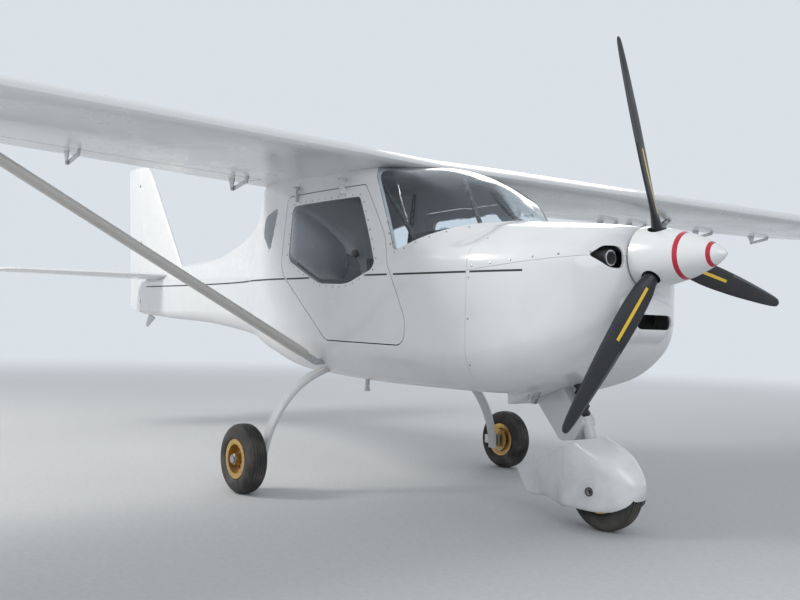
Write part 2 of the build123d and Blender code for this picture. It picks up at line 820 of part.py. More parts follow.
with BuildPart() as spinner_plate:
    with BuildSketch(Plane.YZ.offset(spinner_rear_x)):
        with Locations((0, thrust_z)):
            Circle(spinner_radius - spinner_wall - plate_gap)
    extrude(amount=plate_thickness)
    with BuildSketch(Plane.YZ.offset(spinner_rear_x)):
        with Locations((0, thrust_z)):
            Circle(spacer_radius)
    extrude(amount=prop_x - hub_length / 2 - spinner_rear_x)
    with BuildSketch(Plane.YZ.offset(spinner_rear_x)):
        with Locations((0, thrust_z)):
            Circle(shaft_radius + pin_fit)
    extrude(amount=prop_x - hub_length / 2 - spinner_rear_x, mode=Mode.SUBTRACT)

save(propeller.part, "propeller")
save(spinner.part, "spinner")
save(spinner_plate.part, "spinner_plate")

# Wings: local x runs aft from the leading edge, y up and z out along the span
lean = radians(dihedral)
wing_plane = Plane(origin=(wing_leading_x, 0, wing_root_z), x_dir=(-1, 0, 0), z_dir=(0, cos(lean), sin(lean)))
wing_span = span / 2 / cos(lean)


def chord_point(share):
    return (share[0] * wing_chord, share[1] * wing_chord)


def wing_bar(low, high, inset=0.0):
    """Length of the wing's section, drawn in by inset, between two span stations."""
    with BuildPart() as bar:
        with BuildSketch(wing_plane.offset(low)):
            with BuildLine():
                here = chord_point(wing_section_start)
                for middle, end in wing_section_arcs:
                    ThreePointArc(here, chord_point(middle), chord_point(end))
                    here = chord_point(end)
                Line(here, chord_point(wing_trailing_low))
                here = chord_point(wing_trailing_low)
                for middle, end in wing_section_under:
                    ThreePointArc(here, chord_point(middle), chord_point(end))
                    here = chord_point(end)
            make_face()
            if inset:
                offset(amount=-inset)
        extrude(amount=high - low)
    return bar.part


def span_prism(outline, radius, low, high):
    """Prism along the span from an outline in the wing's section and a circle at the surface axis."""
    with BuildPart() as prism:
        with BuildSketch(wing_plane.offset(low)):
            if radius:
                with Locations((surface_axis_u, surface_axis_v)):
                    Circle(radius)
            if outline:
                with BuildLine():
                    Polyline(*outline, close=True)
                make_face()
        extrude(amount=high - low)
    return prism.part


surface_aft = [(surface_axis_u, -300), (wing_chord + 90, -300), (wing_chord + 90, 300), (surface_axis_u, 300)]
skin_cut = [(-90, -300), (rear_spar_u, -300), (rear_spar_u, 300), (-90, 300)]
wing_plan = Plane(origin=(wing_leading_x, 0, wing_root_z), x_dir=(-1, 0, 0), z_dir=(0, -sin(lean), cos(lean)))

with BuildPart() as plan_form:
    with BuildSketch(wing_plan.offset(-400)):
        with BuildLine():
            rounded_loop([(-3, 60), (-3, -wing_span), (wing_chord + 3, -wing_span), (wing_chord + 3, 60)],
                         [1, tip_round, tip_round, 1])
        make_face()
    extrude(amount=800)

with BuildPart() as wing_form:
    add(wing_bar(-20, wing_span))
    add(plan_form.part, mode=Mode.INTERSECT)

with BuildPart() as wing_hollow:
    add(wing_bar(wing_inner_y, wing_span - 2 * tip_round, wing_skin))
    add(span_prism(skin_cut, 0, 0, wing_span), mode=Mode.INTERSECT)

wing_strut_point = wing_plane.from_local_coords((wing_leading_x - strut_x, -0.034 * wing_chord, strut_top_y))
strut_foot = Vector(strut_x, strut_foot_y, strut_foot_z)
strut_line = Vector(0, wing_strut_point.Y - strut_foot_y, wing_strut_point.Z - strut_foot_z)
strut_top = strut_foot + strut_line - strut_line.normalized() * strut_top_setback
strut_way = strut_line.normalized()


def strut_lug(centre, root):
    """Plate from a root to the strut's bolt, in the plane of the strut."""
    with BuildPart() as plate:
        reach = root - centre
        with BuildSketch(Plane(origin=centre - Vector(strut_lug_thickness / 2, 0, 0), x_dir=reach, z_dir=(1, 0, 0))):
            Circle(strut_lug_radius)
            with Locations((reach.length / 2, 0)):
                Rectangle(reach.length, 2 * strut_lug_radius)
            Circle(strut_bolt_radius + pin_fit, mode=Mode.SUBTRACT)
        extrude(amount=strut_lug_thickness)
    return plate.part


with BuildPart() as wing_left:
    add(wing_form.part)
    for low, high in (flap_stations, aileron_stations):
        cut = span_prism(surface_aft, surface_nose_radius + surface_gap, low - surface_gap, high + surface_gap)
        add(cut, mode=Mode.SUBTRACT)
    add(wing_hollow.part, mode=Mode.SUBTRACT)
    for station in flap_brackets + aileron_brackets:
        add(span_prism(arm_outline, 0, station - bracket_thickness / 2, station + bracket_thickness / 2))
        with BuildSketch(wing_plane.offset(station - bracket_thickness / 2)):
            with Locations((surface_axis_u, surface_axis_v)):
                Circle(surface_boss_radius)
        extrude(amount=bracket_thickness)
        with BuildSketch(wing_plane.offset(station - bracket_thickness / 2)):
            with Locations((surface_axis_u, surface_axis_v)):
                Circle(surface_pin_radius)
        extrude(amount=2 * bracket_thickness + surface_lug_gap + 3)
    add(strut_lug(strut_top, wing_strut_point + Vector(0, 30, 40)))
    add(body_outer, mode=Mode.SUBTRACT)
    add(block((-200, -200, 1000), (2000, seat_gap / 2, 2200)), mode=Mode.SUBTRACT)


def moving_surface(low, high, stations, slotted):
    """Flap or aileron between two span stations, with a lug beside each arm of the wing."""
    with BuildPart() as surface:
        add(span_prism(surface_aft, surface_nose_radius, low, high))
        add(wing_form.part, mode=Mode.INTERSECT)
        for station in stations:
            if slotted:
                slot = [(surface_axis_u - 200, -300), (surface_axis_u + 14, -300), (surface_axis_u + 14, 300),
                        (surface_axis_u - 200, 300)]
                half_slot = bracket_thickness / 2 + lug_side_gap
                add(span_prism(slot, 0, station - half_slot, station + half_slot), mode=Mode.SUBTRACT)
            lug_low = station + bracket_thickness / 2 + surface_lug_gap
            add(span_prism(surface_lug_outline, surface_boss_radius, lug_low, lug_low + bracket_thickness))
            with BuildSketch(wing_plane.offset(station - 20)):
                with Locations((surface_axis_u, surface_axis_v)):
                    Circle(surface_pin_radius + pin_fit)
            extrude(amount=60, mode=Mode.SUBTRACT)
    return surface.part


save_pair(wing_left.part, "wing")
save_pair(moving_surface(*flap_stations, flap_brackets, False), "flap")
save_pair(moving_surface(*aileron_stations, aileron_brackets, True), "aileron")

# Wing struts, each with a fork and a bolt at both ends
with BuildPart() as strut_left:
    strut_plane = Plane(origin=strut_foot + Vector(strut_nose_share * strut_chord, 0, 0), x_dir=(-1, 0, 0),
                        z_dir=strut_way)
    strut_length = (strut_top - strut_foot).length
    loft([foil_section(strut_plane.offset(s), strut_chord, strut_thickness)
          for s in (strut_fork_length, strut_length - strut_fork_length)], ruled=True)
    for centre, way in ((strut_foot, strut_way), (strut_top, strut_way * -1)):
        for side in (-1, 1):
            start = side * strut_lug_thickness / 2 - (strut_cheek_thickness if side < 0 else 0)
            with BuildSketch(Plane(origin=centre + Vector(start, 0, 0), x_dir=way, z_dir=(1, 0, 0))):
                Circle(strut_lug_radius)
                with Locations(((strut_fork_length + 20) / 2, 0)):
                    Rectangle(strut_fork_length + 20, 2 * strut_lug_radius)
            extrude(amount=strut_cheek_thickness)
        bolt_half = strut_lug_thickness / 2 + strut_cheek_thickness + 6
        add(rod(centre - Vector(bolt_half, 0, 0), centre + Vector(bolt_half, 0, 0), strut_bolt_radius))

save_pair(strut_left.part, "strut")

# Lugs of the struts on the cabin, joined to the shell
with BuildPart() as cabin_strut_lug:
    add(strut_lug(strut_foot, strut_foot + Vector(0, -70, 8)))
    add(body_outer, mode=Mode.SUBTRACT)

# Wheels: every wheel has the same tyre and rim, turned about the axle
wheel_spots = [("main_left", main_axle_x, main_wheel_y), ("main_right", main_axle_x, -main_wheel_y),
               ("nose", nose_axle_x, 0)]


def wheel_profile(plane, outline):
    """Ring turned about the axle from an outline of (distance along the axle, radius)."""
    with BuildPart() as ring:
        with BuildSketch(plane):
            with BuildLine():
                Polyline(*outline, close=True)
            make_face()
        revolve(axis=Axis(plane.origin, plane.x_dir))
    return ring.part


bead_half = rim_width / 2 - 6
tyre_half = [(bead_half, bead_radius), (bead_half, rim_flange_radius), (rim_width / 2 + 2, rim_flange_radius + 7),
             (tyre_width / 2, rim_flange_radius + 28), (tyre_width / 2 - 3, wheel_radius - 24),
             (tyre_width / 2 - 14, wheel_radius - 9), (tyre_width / 2 - 30, wheel_radius - 2), (0, wheel_radius)]
tyre_outline = tyre_half + [(-u, r) for u, r in tyre_half[-2::-1]]
web_half = rim_web_thickness / 2
rim_half = [(web_half, rim_hub_radius), (web_half, bead_radius - rim_wall), (rim_width / 2, bead_radius - rim_wall),
            (rim_width / 2, rim_flange_radius), (bead_half, rim_flange_radius), (bead_half, bead_radius)]
hub_reach = main_wheel_y - brake_disc_y

for name, x, y in wheel_spots:
    wheel_plane = Plane(origin=(x, y, wheel_radius), x_dir=(0, 1, 0), z_dir=(1, 0, 0))
    inboard = -1 if y < 0 else 1
    hub_outer = rim_width / 2 + 4
    hub_inner = hub_outer if name == "nose" else hub_reach
    rim_outline = [(hub_outer, axle_radius + pin_fit), (hub_outer, rim_hub_radius)] + rim_half
    rim_outline += [(-u, r) for u, r in rim_half[::-1]]
    if name == "nose":
        rim_outline += [(-hub_inner, rim_hub_radius)]
    else:
        disc = -hub_inner + brake_disc_thickness
        rim_outline += [(disc, rim_hub_radius), (disc, brake_disc_radius), (-hub_inner, brake_disc_radius)]
    rim_outline += [(-hub_inner, axle_radius + pin_fit)]
    with BuildPart() as tyre:
        add(wheel_profile(wheel_plane, tyre_outline))
    with BuildPart() as rim:
        add(wheel_profile(wheel_plane, [(inboard * u, r) for u, r in rim_outline]))
        with BuildSketch(Plane(origin=(x, y - 10, wheel_radius), x_dir=(1, 0, 0), z_dir=(0, 1, 0))):
            with PolarLocations(rim_hole_circle, rim_hole_count):
                Circle(rim_hole_radius)
        extrude(amount=20, mode=Mode.SUBTRACT)
    save(tyre.part, f"{name}_tyre")
    save(rim.part, f"{name}_rim")

# Main gear: a bowed leg from the belly, and an axle with its brake caliper
with BuildPart() as main_leg_left:
    with BuildLine(Plane.YZ.offset(main_axle_x)) as leg_line:
        bends = [[(point.X, point.Y) for point in arc] for arc in rounded_corners(leg_path, leg_path_radii)[1:3]]
        Line(leg_path[0], bends[0][0])
        ThreePointArc(*bends[0])
        Line(bends[0][2], bends[1][0])
        ThreePointArc(*bends[1])
        Line(bends[1][2], leg_path[3])
    with BuildSketch(Plane(origin=leg_line.line @ 0, x_dir=(1, 0, 0), z_dir=leg_line.line % 0)):
        RectangleRounded(leg_width, leg_thickness, 9)
    sweep()
    add(body_outer, mode=Mode.SUBTRACT)

# Room inboard of the leg's lower stretch
with BuildPart() as leg_inboard_form:
    with BuildSketch(Plane.YZ.offset(main_axle_x - leg_width)):
        with BuildLine():
            Polyline((600, leg_path[2][1]), leg_path[2], leg_path[3], (600, leg_path[3][1]), close=True)
        make_face()
    extrude(amount=2 * leg_width)

with BuildPart() as main_axle_left:
    half_size = axle_block_size / 2
    add(block((main_axle_x - half_size, 700, wheel_radius - half_size),
              (main_axle_x + half_size, axle_block_y, wheel_radius + half_size)))
    add(rod((main_axle_x, 740, wheel_radius), (main_axle_x, axle_end_y, wheel_radius), axle_radius))
    bridge_low = brake_disc_radius + brake_gap
    jaw_low = brake_disc_radius - 22
    caliper = [(-(bridge_low + 12), axle_block_y - 12), (-(bridge_low + 12), 821), (-jaw_low, 821),
               (-jaw_low, brake_disc_y + brake_disc_thickness + brake_gap),
               (-bridge_low, brake_disc_y + brake_disc_thickness + brake_gap),
               (-bridge_low, brake_disc_y - brake_gap), (-half_size + 4, brake_disc_y - brake_gap),
               (-half_size + 4, axle_block_y - 12)]
    with BuildSketch(Plane(origin=(main_axle_x, 0, wheel_radius - 24), x_dir=(1, 0, 0), z_dir=(0, 0, 1))):
        with BuildLine():
            Polyline(*caliper, close=True)
        make_face()
    extrude(amount=48)
    add(leg_inboard_form.part, mode=Mode.SUBTRACT)
    add(main_leg_left.part, mode=Mode.SUBTRACT)

save_pair(main_leg_left.part, "main_leg")
save_pair(main_axle_left.part, "main_axle")

# Nose gear: the leg with its housing, and the fork that steers in it
steer_way = Vector(-sin(radians(steer_lean)), 0, cos(radians(steer_lean)))
steer_ahead = Vector(cos(radians(steer_lean)), 0, sin(radians(steer_lean)))
steer_plane = Plane(origin=(steer_point_x, 0, steer_point_z), x_dir=steer_ahead, z_dir=steer_way)


def steer_rod(low, high, radius):
    with BuildPart() as bar:
        with BuildSketch(steer_plane.offset(low)):
            Circle(radius)
        extrude(amount=high - low)
    return bar.part


with BuildPart() as nose_leg:
    add(nose_leg_form)
    add(steer_rod(-60, housing_low, 200), mode=Mode.SUBTRACT)
    add(steer_rod(housing_low, housing_high, king_housing_radius))
    add(steer_rod(housing_low - 1, housing_high + 60, king_pin_radius + pin_fit), mode=Mode.SUBTRACT)
    add(body_outer, mode=Mode.SUBTRACT)

axle_low = -(steer_plane.to_local_coords(Vector(nose_axle_x, 0, wheel_radius)).Z)
axle_ahead = steer_plane.to_local_coords(Vector(nose_axle_x, 0, wheel_radius)).X

with BuildPart() as nose_fork:
    fork_outer = fork_inner_y + fork_plate_thickness
    for side in (-1, 1):
        low_y = fork_inner_y if side > 0 else -fork_outer
        with BuildSketch(Plane.XZ.offset(-low_y - fork_plate_thickness)):
            with BuildLine():
                crown = steer_plane.from_local_coords(Vector(0, 0, crown_high))
                front = crown + steer_ahead * 30
                back = crown - steer_ahead * 30
                Polyline((front.X, front.Z), (nose_axle_x + fork_end_radius, wheel_radius),
                         (nose_axle_x - fork_end_radius, wheel_radius), (back.X, back.Z), close=True)
            make_face()
            with Locations((nose_axle_x, wheel_radius)):
                Circle(fork_end_radius)
                Circle(axle_radius, mode=Mode.SUBTRACT)
        extrude(amount=fork_plate_thickness)
    with BuildSketch(steer_plane.offset(crown_low)):
        Rectangle(60, 2 * fork_inner_y + 2)
    extrude(amount=crown_high - crown_low)
    add(steer_rod(crown_high - 2, housing_low - seat_gap, collar_radius))
    add(steer_rod(crown_high, housing_high - 4, king_pin_radius))

with BuildPart() as nose_axle:
    add(rod((nose_axle_x, -nose_axle_half, wheel_radius), (nose_axle_x, nose_axle_half, wheel_radius), axle_radius))
    for side in (-1, 1):
        add(rod((nose_axle_x, side * (nose_axle_half - towbar_bore_depth), wheel_radius),
                (nose_axle_x, side * (nose_axle_half + 5), wheel_radius), towbar_bore_radius), mode=Mode.SUBTRACT)


def spat_section(x, half, low, high, radius):
    with BuildSketch(Plane.YZ.offset(x)) as section:
        with Locations((0, (low + high) / 2)):
            RectangleRounded(2 * half, high - low, min(radius, half - 1, (high - low) / 2 - 1))
    return section.sketch


# Room for the wheel and fork: the spat's own form drawn in by its wall, open below
with BuildPart() as spat_well:
    loft([spat_section(x, half - spat_wall, -20, high - spat_wall, radius)
          for x, half, low, high, radius in spat_lines[1:7]], ruled=True)
    with BuildSketch(Plane.XZ.offset(-2 * spat_well_half)):
        with Locations((nose_axle_x, wheel_radius)):
            Circle(spat_well_radius)
    extrude(amount=4 * spat_well_half, mode=Mode.INTERSECT)

with BuildPart() as nose_spat:
    loft([spat_section(*line) for line in spat_lines], ruled=True)
    add(steer_rod(spat_top, 300, 600), mode=Mode.SUBTRACT)
    add(spat_well.part, mode=Mode.SUBTRACT)
    with BuildSketch(steer_plane.offset(crown_low - 60)):
        Rectangle(84, 2 * spat_well_half)
    extrude(amount=crown_high - crown_low + 60, mode=Mode.SUBTRACT)
    add(steer_rod(crown_high - 20, 0, collar_radius + 2), mode=Mode.SUBTRACT)
    add(rod((nose_axle_x, -200, wheel_radius), (nose_axle_x, 200, wheel_radius), axle_radius), mode=Mode.SUBTRACT)

with BuildPart() as nose_spring:
    top = Vector(spring_top[0], 0, spring_top[1])
    foot = Vector(spring_foot[0], 0, spring_foot[1])
    height = (top - foot).length
    with BuildSketch(Plane(origin=foot, x_dir=(top - foot).cross(Vector(0, 1, 0)), z_dir=(0, 1, 0))):
        with BuildLine():
            rise = height / (2 * spring_turns)
            ribs = [(spring_radius - 9 * (step % 2), rise * step) for step in range(2 * spring_turns + 1)]
            Polyline((0, 0), *ribs, (0, height), close=True)
        make_face()
    revolve(axis=Axis(foot, top - foot))
    add(steer_rod(0, housing_high, king_housing_radius), mode=Mode.SUBTRACT)
    add(nose_leg.part, mode=Mode.SUBTRACT)
    add(cowl_outer, mode=Mode.SUBTRACT)
    add(cowl_lower.part, mode=Mode.SUBTRACT)

for part, name in ((nose_leg, "nose_leg"), (nose_fork, "nose_fork"), (nose_axle, "nose_axle"),
                   (nose_spat, "nose_spat"), (nose_spring, "nose_spring")):
    save(part.part, name)

# Cabin: tube frame, seats, panel, sticks, pedals
with BuildPart() as seat_left:
    add(side_prism(seat_outline, seat_radii, seat_y - seat_width / 2, seat_y + seat_width / 2))
    add(cabin_hollow.part, mode=Mode.INTERSECT)

save_pair(seat_left.part, "seat")

with BuildPart() as instrument_panel:
    add(side_prism(panel_outline, None, -panel_half, panel_half))
    add(block((1560, -console_half, 500), (1640, console_half, 1000)))
    add(cabin_hollow.part, mode=Mode.INTERSECT)

save(instrument_panel.part, "instrument_panel")

with BuildPart() as cabin_frame:
    for start, end in frame_tubes:
        add(rod(start, end, tube_radius))
        if start[1] or end[1]:
            add(rod((start[0], -start[1], start[2]), (end[0], -end[1], end[2]), tube_radius))
    add(cabin_hollow.part, mode=Mode.INTERSECT)
    add(instrument_panel.part, mode=Mode.SUBTRACT)

save(cabin_frame.part, "cabin_frame")

with BuildPart() as control_sticks:
    for side in (-1, 1):
        add(rod((stick_x, side * seat_y, 540), (stick_top[0], side * seat_y, stick_top[1]), stick_radius))
    add(rod((stick_x - 9, -seat_y, 640), (stick_x - 9, seat_y, 640), stick_radius))
    add(cabin_hollow.part, mode=Mode.INTERSECT)

save(control_sticks.part, "control_sticks")

with BuildPart() as rudder_pedals:
    for y in pedal_y:
        for side in (-1, 1):
            add(rod((pedal_x, side * y, 540), (pedal_x + 20, side * y, 760), stick_radius))
            add(block((pedal_x + 6, side * y - 40, 700), (pedal_x + 18, side * y + 40, 790)))
    add(cabin_hollow.part, mode=Mode.INTERSECT)

save(rudder_pedals.part, "rudder_pedals")

with BuildPart() as antenna:
    add(rod((antenna_x, 0, 1640), (antenna_top[0], 0, antenna_top[1]), 4))
    with BuildSketch(Plane.XY.offset(1640)):
        with Locations((antenna_x, 0)):
            Circle(18)
    extrude(amount=62)
    add(body_outer, mode=Mode.SUBTRACT)

save(antenna.part, "antenna")

# Cabin shell, with its door openings, windows and lugs
with BuildPart() as cabin_shell:
    add(cabin_wall_form.part)
    for space in (door_hole, quarter_space):
        add(space, mode=Mode.SUBTRACT)
        add(mirrored(space), mode=Mode.SUBTRACT)
    add(screen_space, mode=Mode.SUBTRACT)
    add(rail_lugs.part)
    add(mirrored(rail_lugs.part))
    add(cabin_strut_lug.part)
    add(mirrored(cabin_strut_lug.part))

save(cabin_shell.part, "cabin_shell")
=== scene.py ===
import json
import math

import bmesh
import bpy
import numpy as np
from mathutils.bvhtree import BVHTree
from mathutils import Matrix, Vector

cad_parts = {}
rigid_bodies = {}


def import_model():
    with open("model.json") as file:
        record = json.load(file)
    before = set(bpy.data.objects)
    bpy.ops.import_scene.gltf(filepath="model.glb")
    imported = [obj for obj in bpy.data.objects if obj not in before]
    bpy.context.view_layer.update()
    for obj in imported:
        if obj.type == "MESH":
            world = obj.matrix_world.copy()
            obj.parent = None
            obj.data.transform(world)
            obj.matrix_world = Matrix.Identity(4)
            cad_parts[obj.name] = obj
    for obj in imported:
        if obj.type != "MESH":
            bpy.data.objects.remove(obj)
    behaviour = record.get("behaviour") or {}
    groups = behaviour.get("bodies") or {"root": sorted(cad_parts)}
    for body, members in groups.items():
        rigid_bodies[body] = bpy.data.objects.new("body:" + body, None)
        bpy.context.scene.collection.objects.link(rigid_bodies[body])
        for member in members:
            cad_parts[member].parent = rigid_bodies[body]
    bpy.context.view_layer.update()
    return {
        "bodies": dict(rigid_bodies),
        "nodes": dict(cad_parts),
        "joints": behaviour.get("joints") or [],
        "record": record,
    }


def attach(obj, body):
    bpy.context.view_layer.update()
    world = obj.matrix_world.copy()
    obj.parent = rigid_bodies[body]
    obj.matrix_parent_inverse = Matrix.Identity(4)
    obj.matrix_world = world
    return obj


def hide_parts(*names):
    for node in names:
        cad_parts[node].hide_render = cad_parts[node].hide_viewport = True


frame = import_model()
nodes = frame["nodes"]
print("frame loaded:", len(nodes), "nodes")

# Camera, at the side of the nose and a little over knee height
viewSettings = {"place": (4.830, -2.984, 0.795), "heading": 142.26, "rise": 1.92, "roll": 1.43,
                "focal": 912.9, "frameWidth": 800, "sensor": 36}


def addCamera(settings):
    data = bpy.data.cameras.new("camera")
    data.sensor_width = settings["sensor"]
    data.lens = settings["sensor"] * settings["focal"] / settings["frameWidth"]
    data.clip_end = 200
    camera = bpy.data.objects.new("camera", data)
    bpy.context.scene.collection.objects.link(camera)
    heading, rise, roll = (math.radians(settings[k]) for k in ("heading", "rise", "roll"))
    forward = Vector((math.cos(rise) * math.cos(heading), math.cos(rise) * math.sin(heading), math.sin(rise)))
    side = forward.cross(Vector((0, 0, 1))).normalized()
    upright = side.cross(forward)
    right = side * math.cos(roll) + upright * math.sin(roll)
    top = upright * math.cos(roll) - side * math.sin(roll)
    turn = Matrix((right, top, -forward)).transposed().to_4x4()
    camera.matrix_world = Matrix.Translation(settings["place"]) @ turn
    bpy.context.scene.camera = camera


addCamera(viewSettings)
bpy.context.scene.view_settings.view_transform = "Standard"


def startGroup(name, inputs, outputs):
    group = bpy.data.node_groups.new(name, "ShaderNodeTree")
    for label, kind, value in inputs:
        group.interface.new_socket(label, in_out="INPUT", socket_type=kind).default_value = value
    for label, kind in outputs:
        group.interface.new_socket(label, in_out="OUTPUT", socket_type=kind)
    return group, group.nodes.new("NodeGroupInput"), group.nodes.new("NodeGroupOutput")


def mathNode(tree, operation, first, second=None):
    node = tree.nodes.new("ShaderNodeMath")
    node.operation = operation
    for socket, value in zip(node.inputs, (first, second)):
        if value is None:
            continue
        if isinstance(value, (int, float)):
            socket.default_value = value
        else:
            tree.links.new(value, socket)
    return node.outputs[0]


def noiseNode(tree, position, scale, detail=4.0, stretch=None):
    node = tree.nodes.new("ShaderNodeTexNoise")
    node.inputs["Detail"].default_value = detail
    if isinstance(scale, (int, float)):
        node.inputs["Scale"].default_value = scale
    else:
        tree.links.new(scale, node.inputs["Scale"])
    if stretch:
        mapping = tree.nodes.new("ShaderNodeMapping")
        mapping.inputs["Scale"].default_value = stretch
        tree.links.new(position, mapping.inputs["Vector"])
        position = mapping.outputs[0]
    tree.links.new(position, node.inputs["Vector"])
    return node.outputs["Fac"]


def rangeNode(tree, value, low, high, newLow=0.0, newHigh=1.0):
    node = tree.nodes.new("ShaderNodeMapRange")
    node.interpolation_type = "SMOOTHSTEP"
    for label, number in (("From Min", low), ("From Max", high), ("To Min", newLow), ("To Max", newHigh)):
        node.inputs[label].default_value = number
    tree.links.new(value, node.inputs["Value"])
    return node.outputs[0]


def mixColours(tree, factor, first, second, blend="MIX"):
    node = tree.nodes.new("ShaderNodeMix")
    node.data_type = "RGBA"
    node.blend_type = blend
    for label, value in (("Factor_Float", factor), ("A_Color", first), ("B_Color", second)):
        socket = next(s for s in node.inputs if s.identifier == label)
        if isinstance(value, (int, float)):
            socket.default_value = value
        elif isinstance(value, tuple):
            socket.default_value = (*value[:3], 1)
        else:
            tree.links.new(value, socket)
    return next(s for s in node.outputs if s.identifier == "Result_Color")


# Slow drifts of tone over a surface, with a matching change of gloss
def buildMottle():
    group, start, end = startGroup("toneDrift", [("Color", "NodeSocketColor", (0.8, 0.8, 0.8, 1)),
                                                 ("Scale", "NodeSocketFloat", 3.0),
                                                 ("Amount", "NodeSocketFloat", 0.05)],
                                   [("Color", "NodeSocketColor"), ("Value", "NodeSocketFloat")])
    place = group.nodes.new("ShaderNodeTexCoord").outputs["Object"]
    drift = noiseNode(group, place, start.outputs["Scale"], 5.0)
    shade = mathNode(group, "SUBTRACT", 1.0, mathNode(group, "MULTIPLY", drift, start.outputs["Amount"]))
    tint = group.nodes.new("ShaderNodeCombineColor")
    for socket in tint.inputs[:3]:
        group.links.new(shade, socket)
    toned = mixColours(group, 1.0, start.outputs["Color"], tint.outputs[0], "MULTIPLY")
    group.links.new(toned, end.inputs["Color"])
    group.links.new(drift, end.inputs["Value"])
    return group


# Dust in patches over every surface, and road dirt near the ground
def buildDust():
    group, start, end = startGroup("dustFilm", [("Amount", "NodeSocketFloat", 0.2),
                                                ("Height", "NodeSocketFloat", 0.5)],
                                   [("Mask", "NodeSocketFloat")])
    place = group.nodes.new("ShaderNodeTexCoord").outputs["Object"]
    parts = group.nodes.new("ShaderNodeSeparateXYZ")
    group.links.new(place, parts.inputs[0])
    share = mathNode(group, "DIVIDE", parts.outputs["Z"], start.outputs["Height"])
    low = mathNode(group, "MAXIMUM", mathNode(group, "SUBTRACT", 1.0, share), 0.12)
    patches = rangeNode(group, noiseNode(group, place, 9.0, 8.0), 0.35, 0.75)
    mask = mathNode(group, "MULTIPLY", mathNode(group, "MULTIPLY", low, patches), start.outputs["Amount"])
    group.links.new(mask, end.inputs["Mask"])
    return group


# Rubbed edges: bright or bare where the surface is sharpest
def buildWear():
    group, start, end = startGroup("edgeWear", [("Amount", "NodeSocketFloat", 0.5)],
                                   [("Mask", "NodeSocketFloat")])
    geometry = group.nodes.new("ShaderNodeNewGeometry")
    place = group.nodes.new("ShaderNodeTexCoord").outputs["Object"]
    sharp = rangeNode(group, geometry.outputs["Pointiness"], 0.53, 0.62)
    broken = rangeNode(group, noiseNode(group, place, 60.0, 6.0), 0.4, 0.6)
    mask = mathNode(group, "MULTIPLY", mathNode(group, "MULTIPLY", sharp, broken), start.outputs["Amount"])
    group.links.new(mask, end.inputs["Mask"])
    return group


# Fine grain for bump: orange peel, cast skin, cloth or rubber, by its scale
def buildGrain():
    group, start, end = startGroup("fineGrain", [("Scale", "NodeSocketFloat", 400.0),
                                                 ("Coarse", "NodeSocketFloat", 0.3)],
                                   [("Height", "NodeSocketFloat")])
    place = group.nodes.new("ShaderNodeTexCoord").outputs["Object"]
    fine = noiseNode(group, place, start.outputs["Scale"], 3.0)
    coarse = noiseNode(group, place, mathNode(group, "MULTIPLY", start.outputs["Scale"], 0.13), 2.0)
    height = mathNode(group, "ADD", fine, mathNode(group, "MULTIPLY", coarse, start.outputs["Coarse"]))
    group.links.new(height, end.inputs["Height"])
    return group


groups = {"toneDrift": buildMottle(), "dustFilm": buildDust(), "edgeWear": buildWear(),
          "fineGrain": buildGrain()}


def placeGroup(tree, name, **values):
    node = tree.nodes.new("ShaderNodeGroup")
    node.node_tree = groups[name]
    for label, value in values.items():
        if isinstance(value, (int, float)):
            node.inputs[label].default_value = value
        elif isinstance(value, tuple):
            node.inputs[label].default_value = (*value[:3], 1)
        else:
            tree.links.new(value, node.inputs[label])
    return node


# Each finish by its colour, roughness, metal, coat, drift of tone and its scale, dust, grain and bump,
# and for some the wear of its edges with its colour
finishColumns = ("colour", "rough", "metal", "coat", "drift", "driftScale", "dust", "grain", "bump",
                 "wear", "wearColour")
finishRows = {
    "gelCoat": ((0.8, 0.81, 0.82), 0.22, 0.0, 0.5, 0.05, 1.6, 0.5, 260, 0.02),
    "wingCloth": ((0.76, 0.77, 0.78), 0.3, 0.0, 0.25, 0.08, 2.2, 0.07, 700, 0.02),
    "greyPaint": ((0.62, 0.63, 0.64), 0.32, 0.0, 0.3, 0.08, 3, 0.4, 500, 0.03),
    "darkSteel": ((0.07, 0.07, 0.075), 0.4, 0.0, 0.1, 0.2, 8, 0.6, 800, 0.05, 0.6, (0.3, 0.3, 0.3)),
    "greyAlloy": ((0.55, 0.56, 0.57), 0.34, 0.9, 0.0, 0.15, 10, 0.4, 900, 0.06, 0.4, (0.8, 0.8, 0.8)),
    "bareSteel": ((0.42, 0.42, 0.43), 0.28, 1.0, 0.0, 0.2, 20, 0.3, 1200, 0.04, 0.3, (0.8, 0.8, 0.8)),
    "goldAlloy": ((0.62, 0.36, 0.07), 0.32, 0.75, 0.0, 0.15, 12, 0.9, 900, 0.05, 0.5, (0.8, 0.6, 0.3)),
    "tyreRubber": ((0.028, 0.027, 0.027), 0.72, 0.0, 0.0, 0.35, 14, 0.35, 600, 0.2),
    "bladeBlack": ((0.007, 0.008, 0.011), 0.42, 0.0, 0.05, 0.2, 6, 0.08, 700, 0.04),
    "castEngine": ((0.2, 0.2, 0.2), 0.55, 0.6, 0.0, 0.3, 12, 0.5, 500, 0.3, 0.4, (0.5, 0.5, 0.5)),
    "seatCloth": ((0.055, 0.06, 0.075), 0.85, 0.0, 0.0, 0.3, 10, 0.3, 1400, 0.4),
    "darkTrim": ((0.03, 0.03, 0.032), 0.5, 0.0, 0.0, 0.25, 8, 0.4, 900, 0.12),
    "stripeRed": ((0.62, 0.02, 0.03), 0.28, 0.0, 0.4, 0.1, 6, 0.1, 300, 0.02),
}
finishes = {name: dict(zip(finishColumns, row)) for name, row in finishRows.items()}
dustColour = (0.34, 0.31, 0.27)
materials = {}


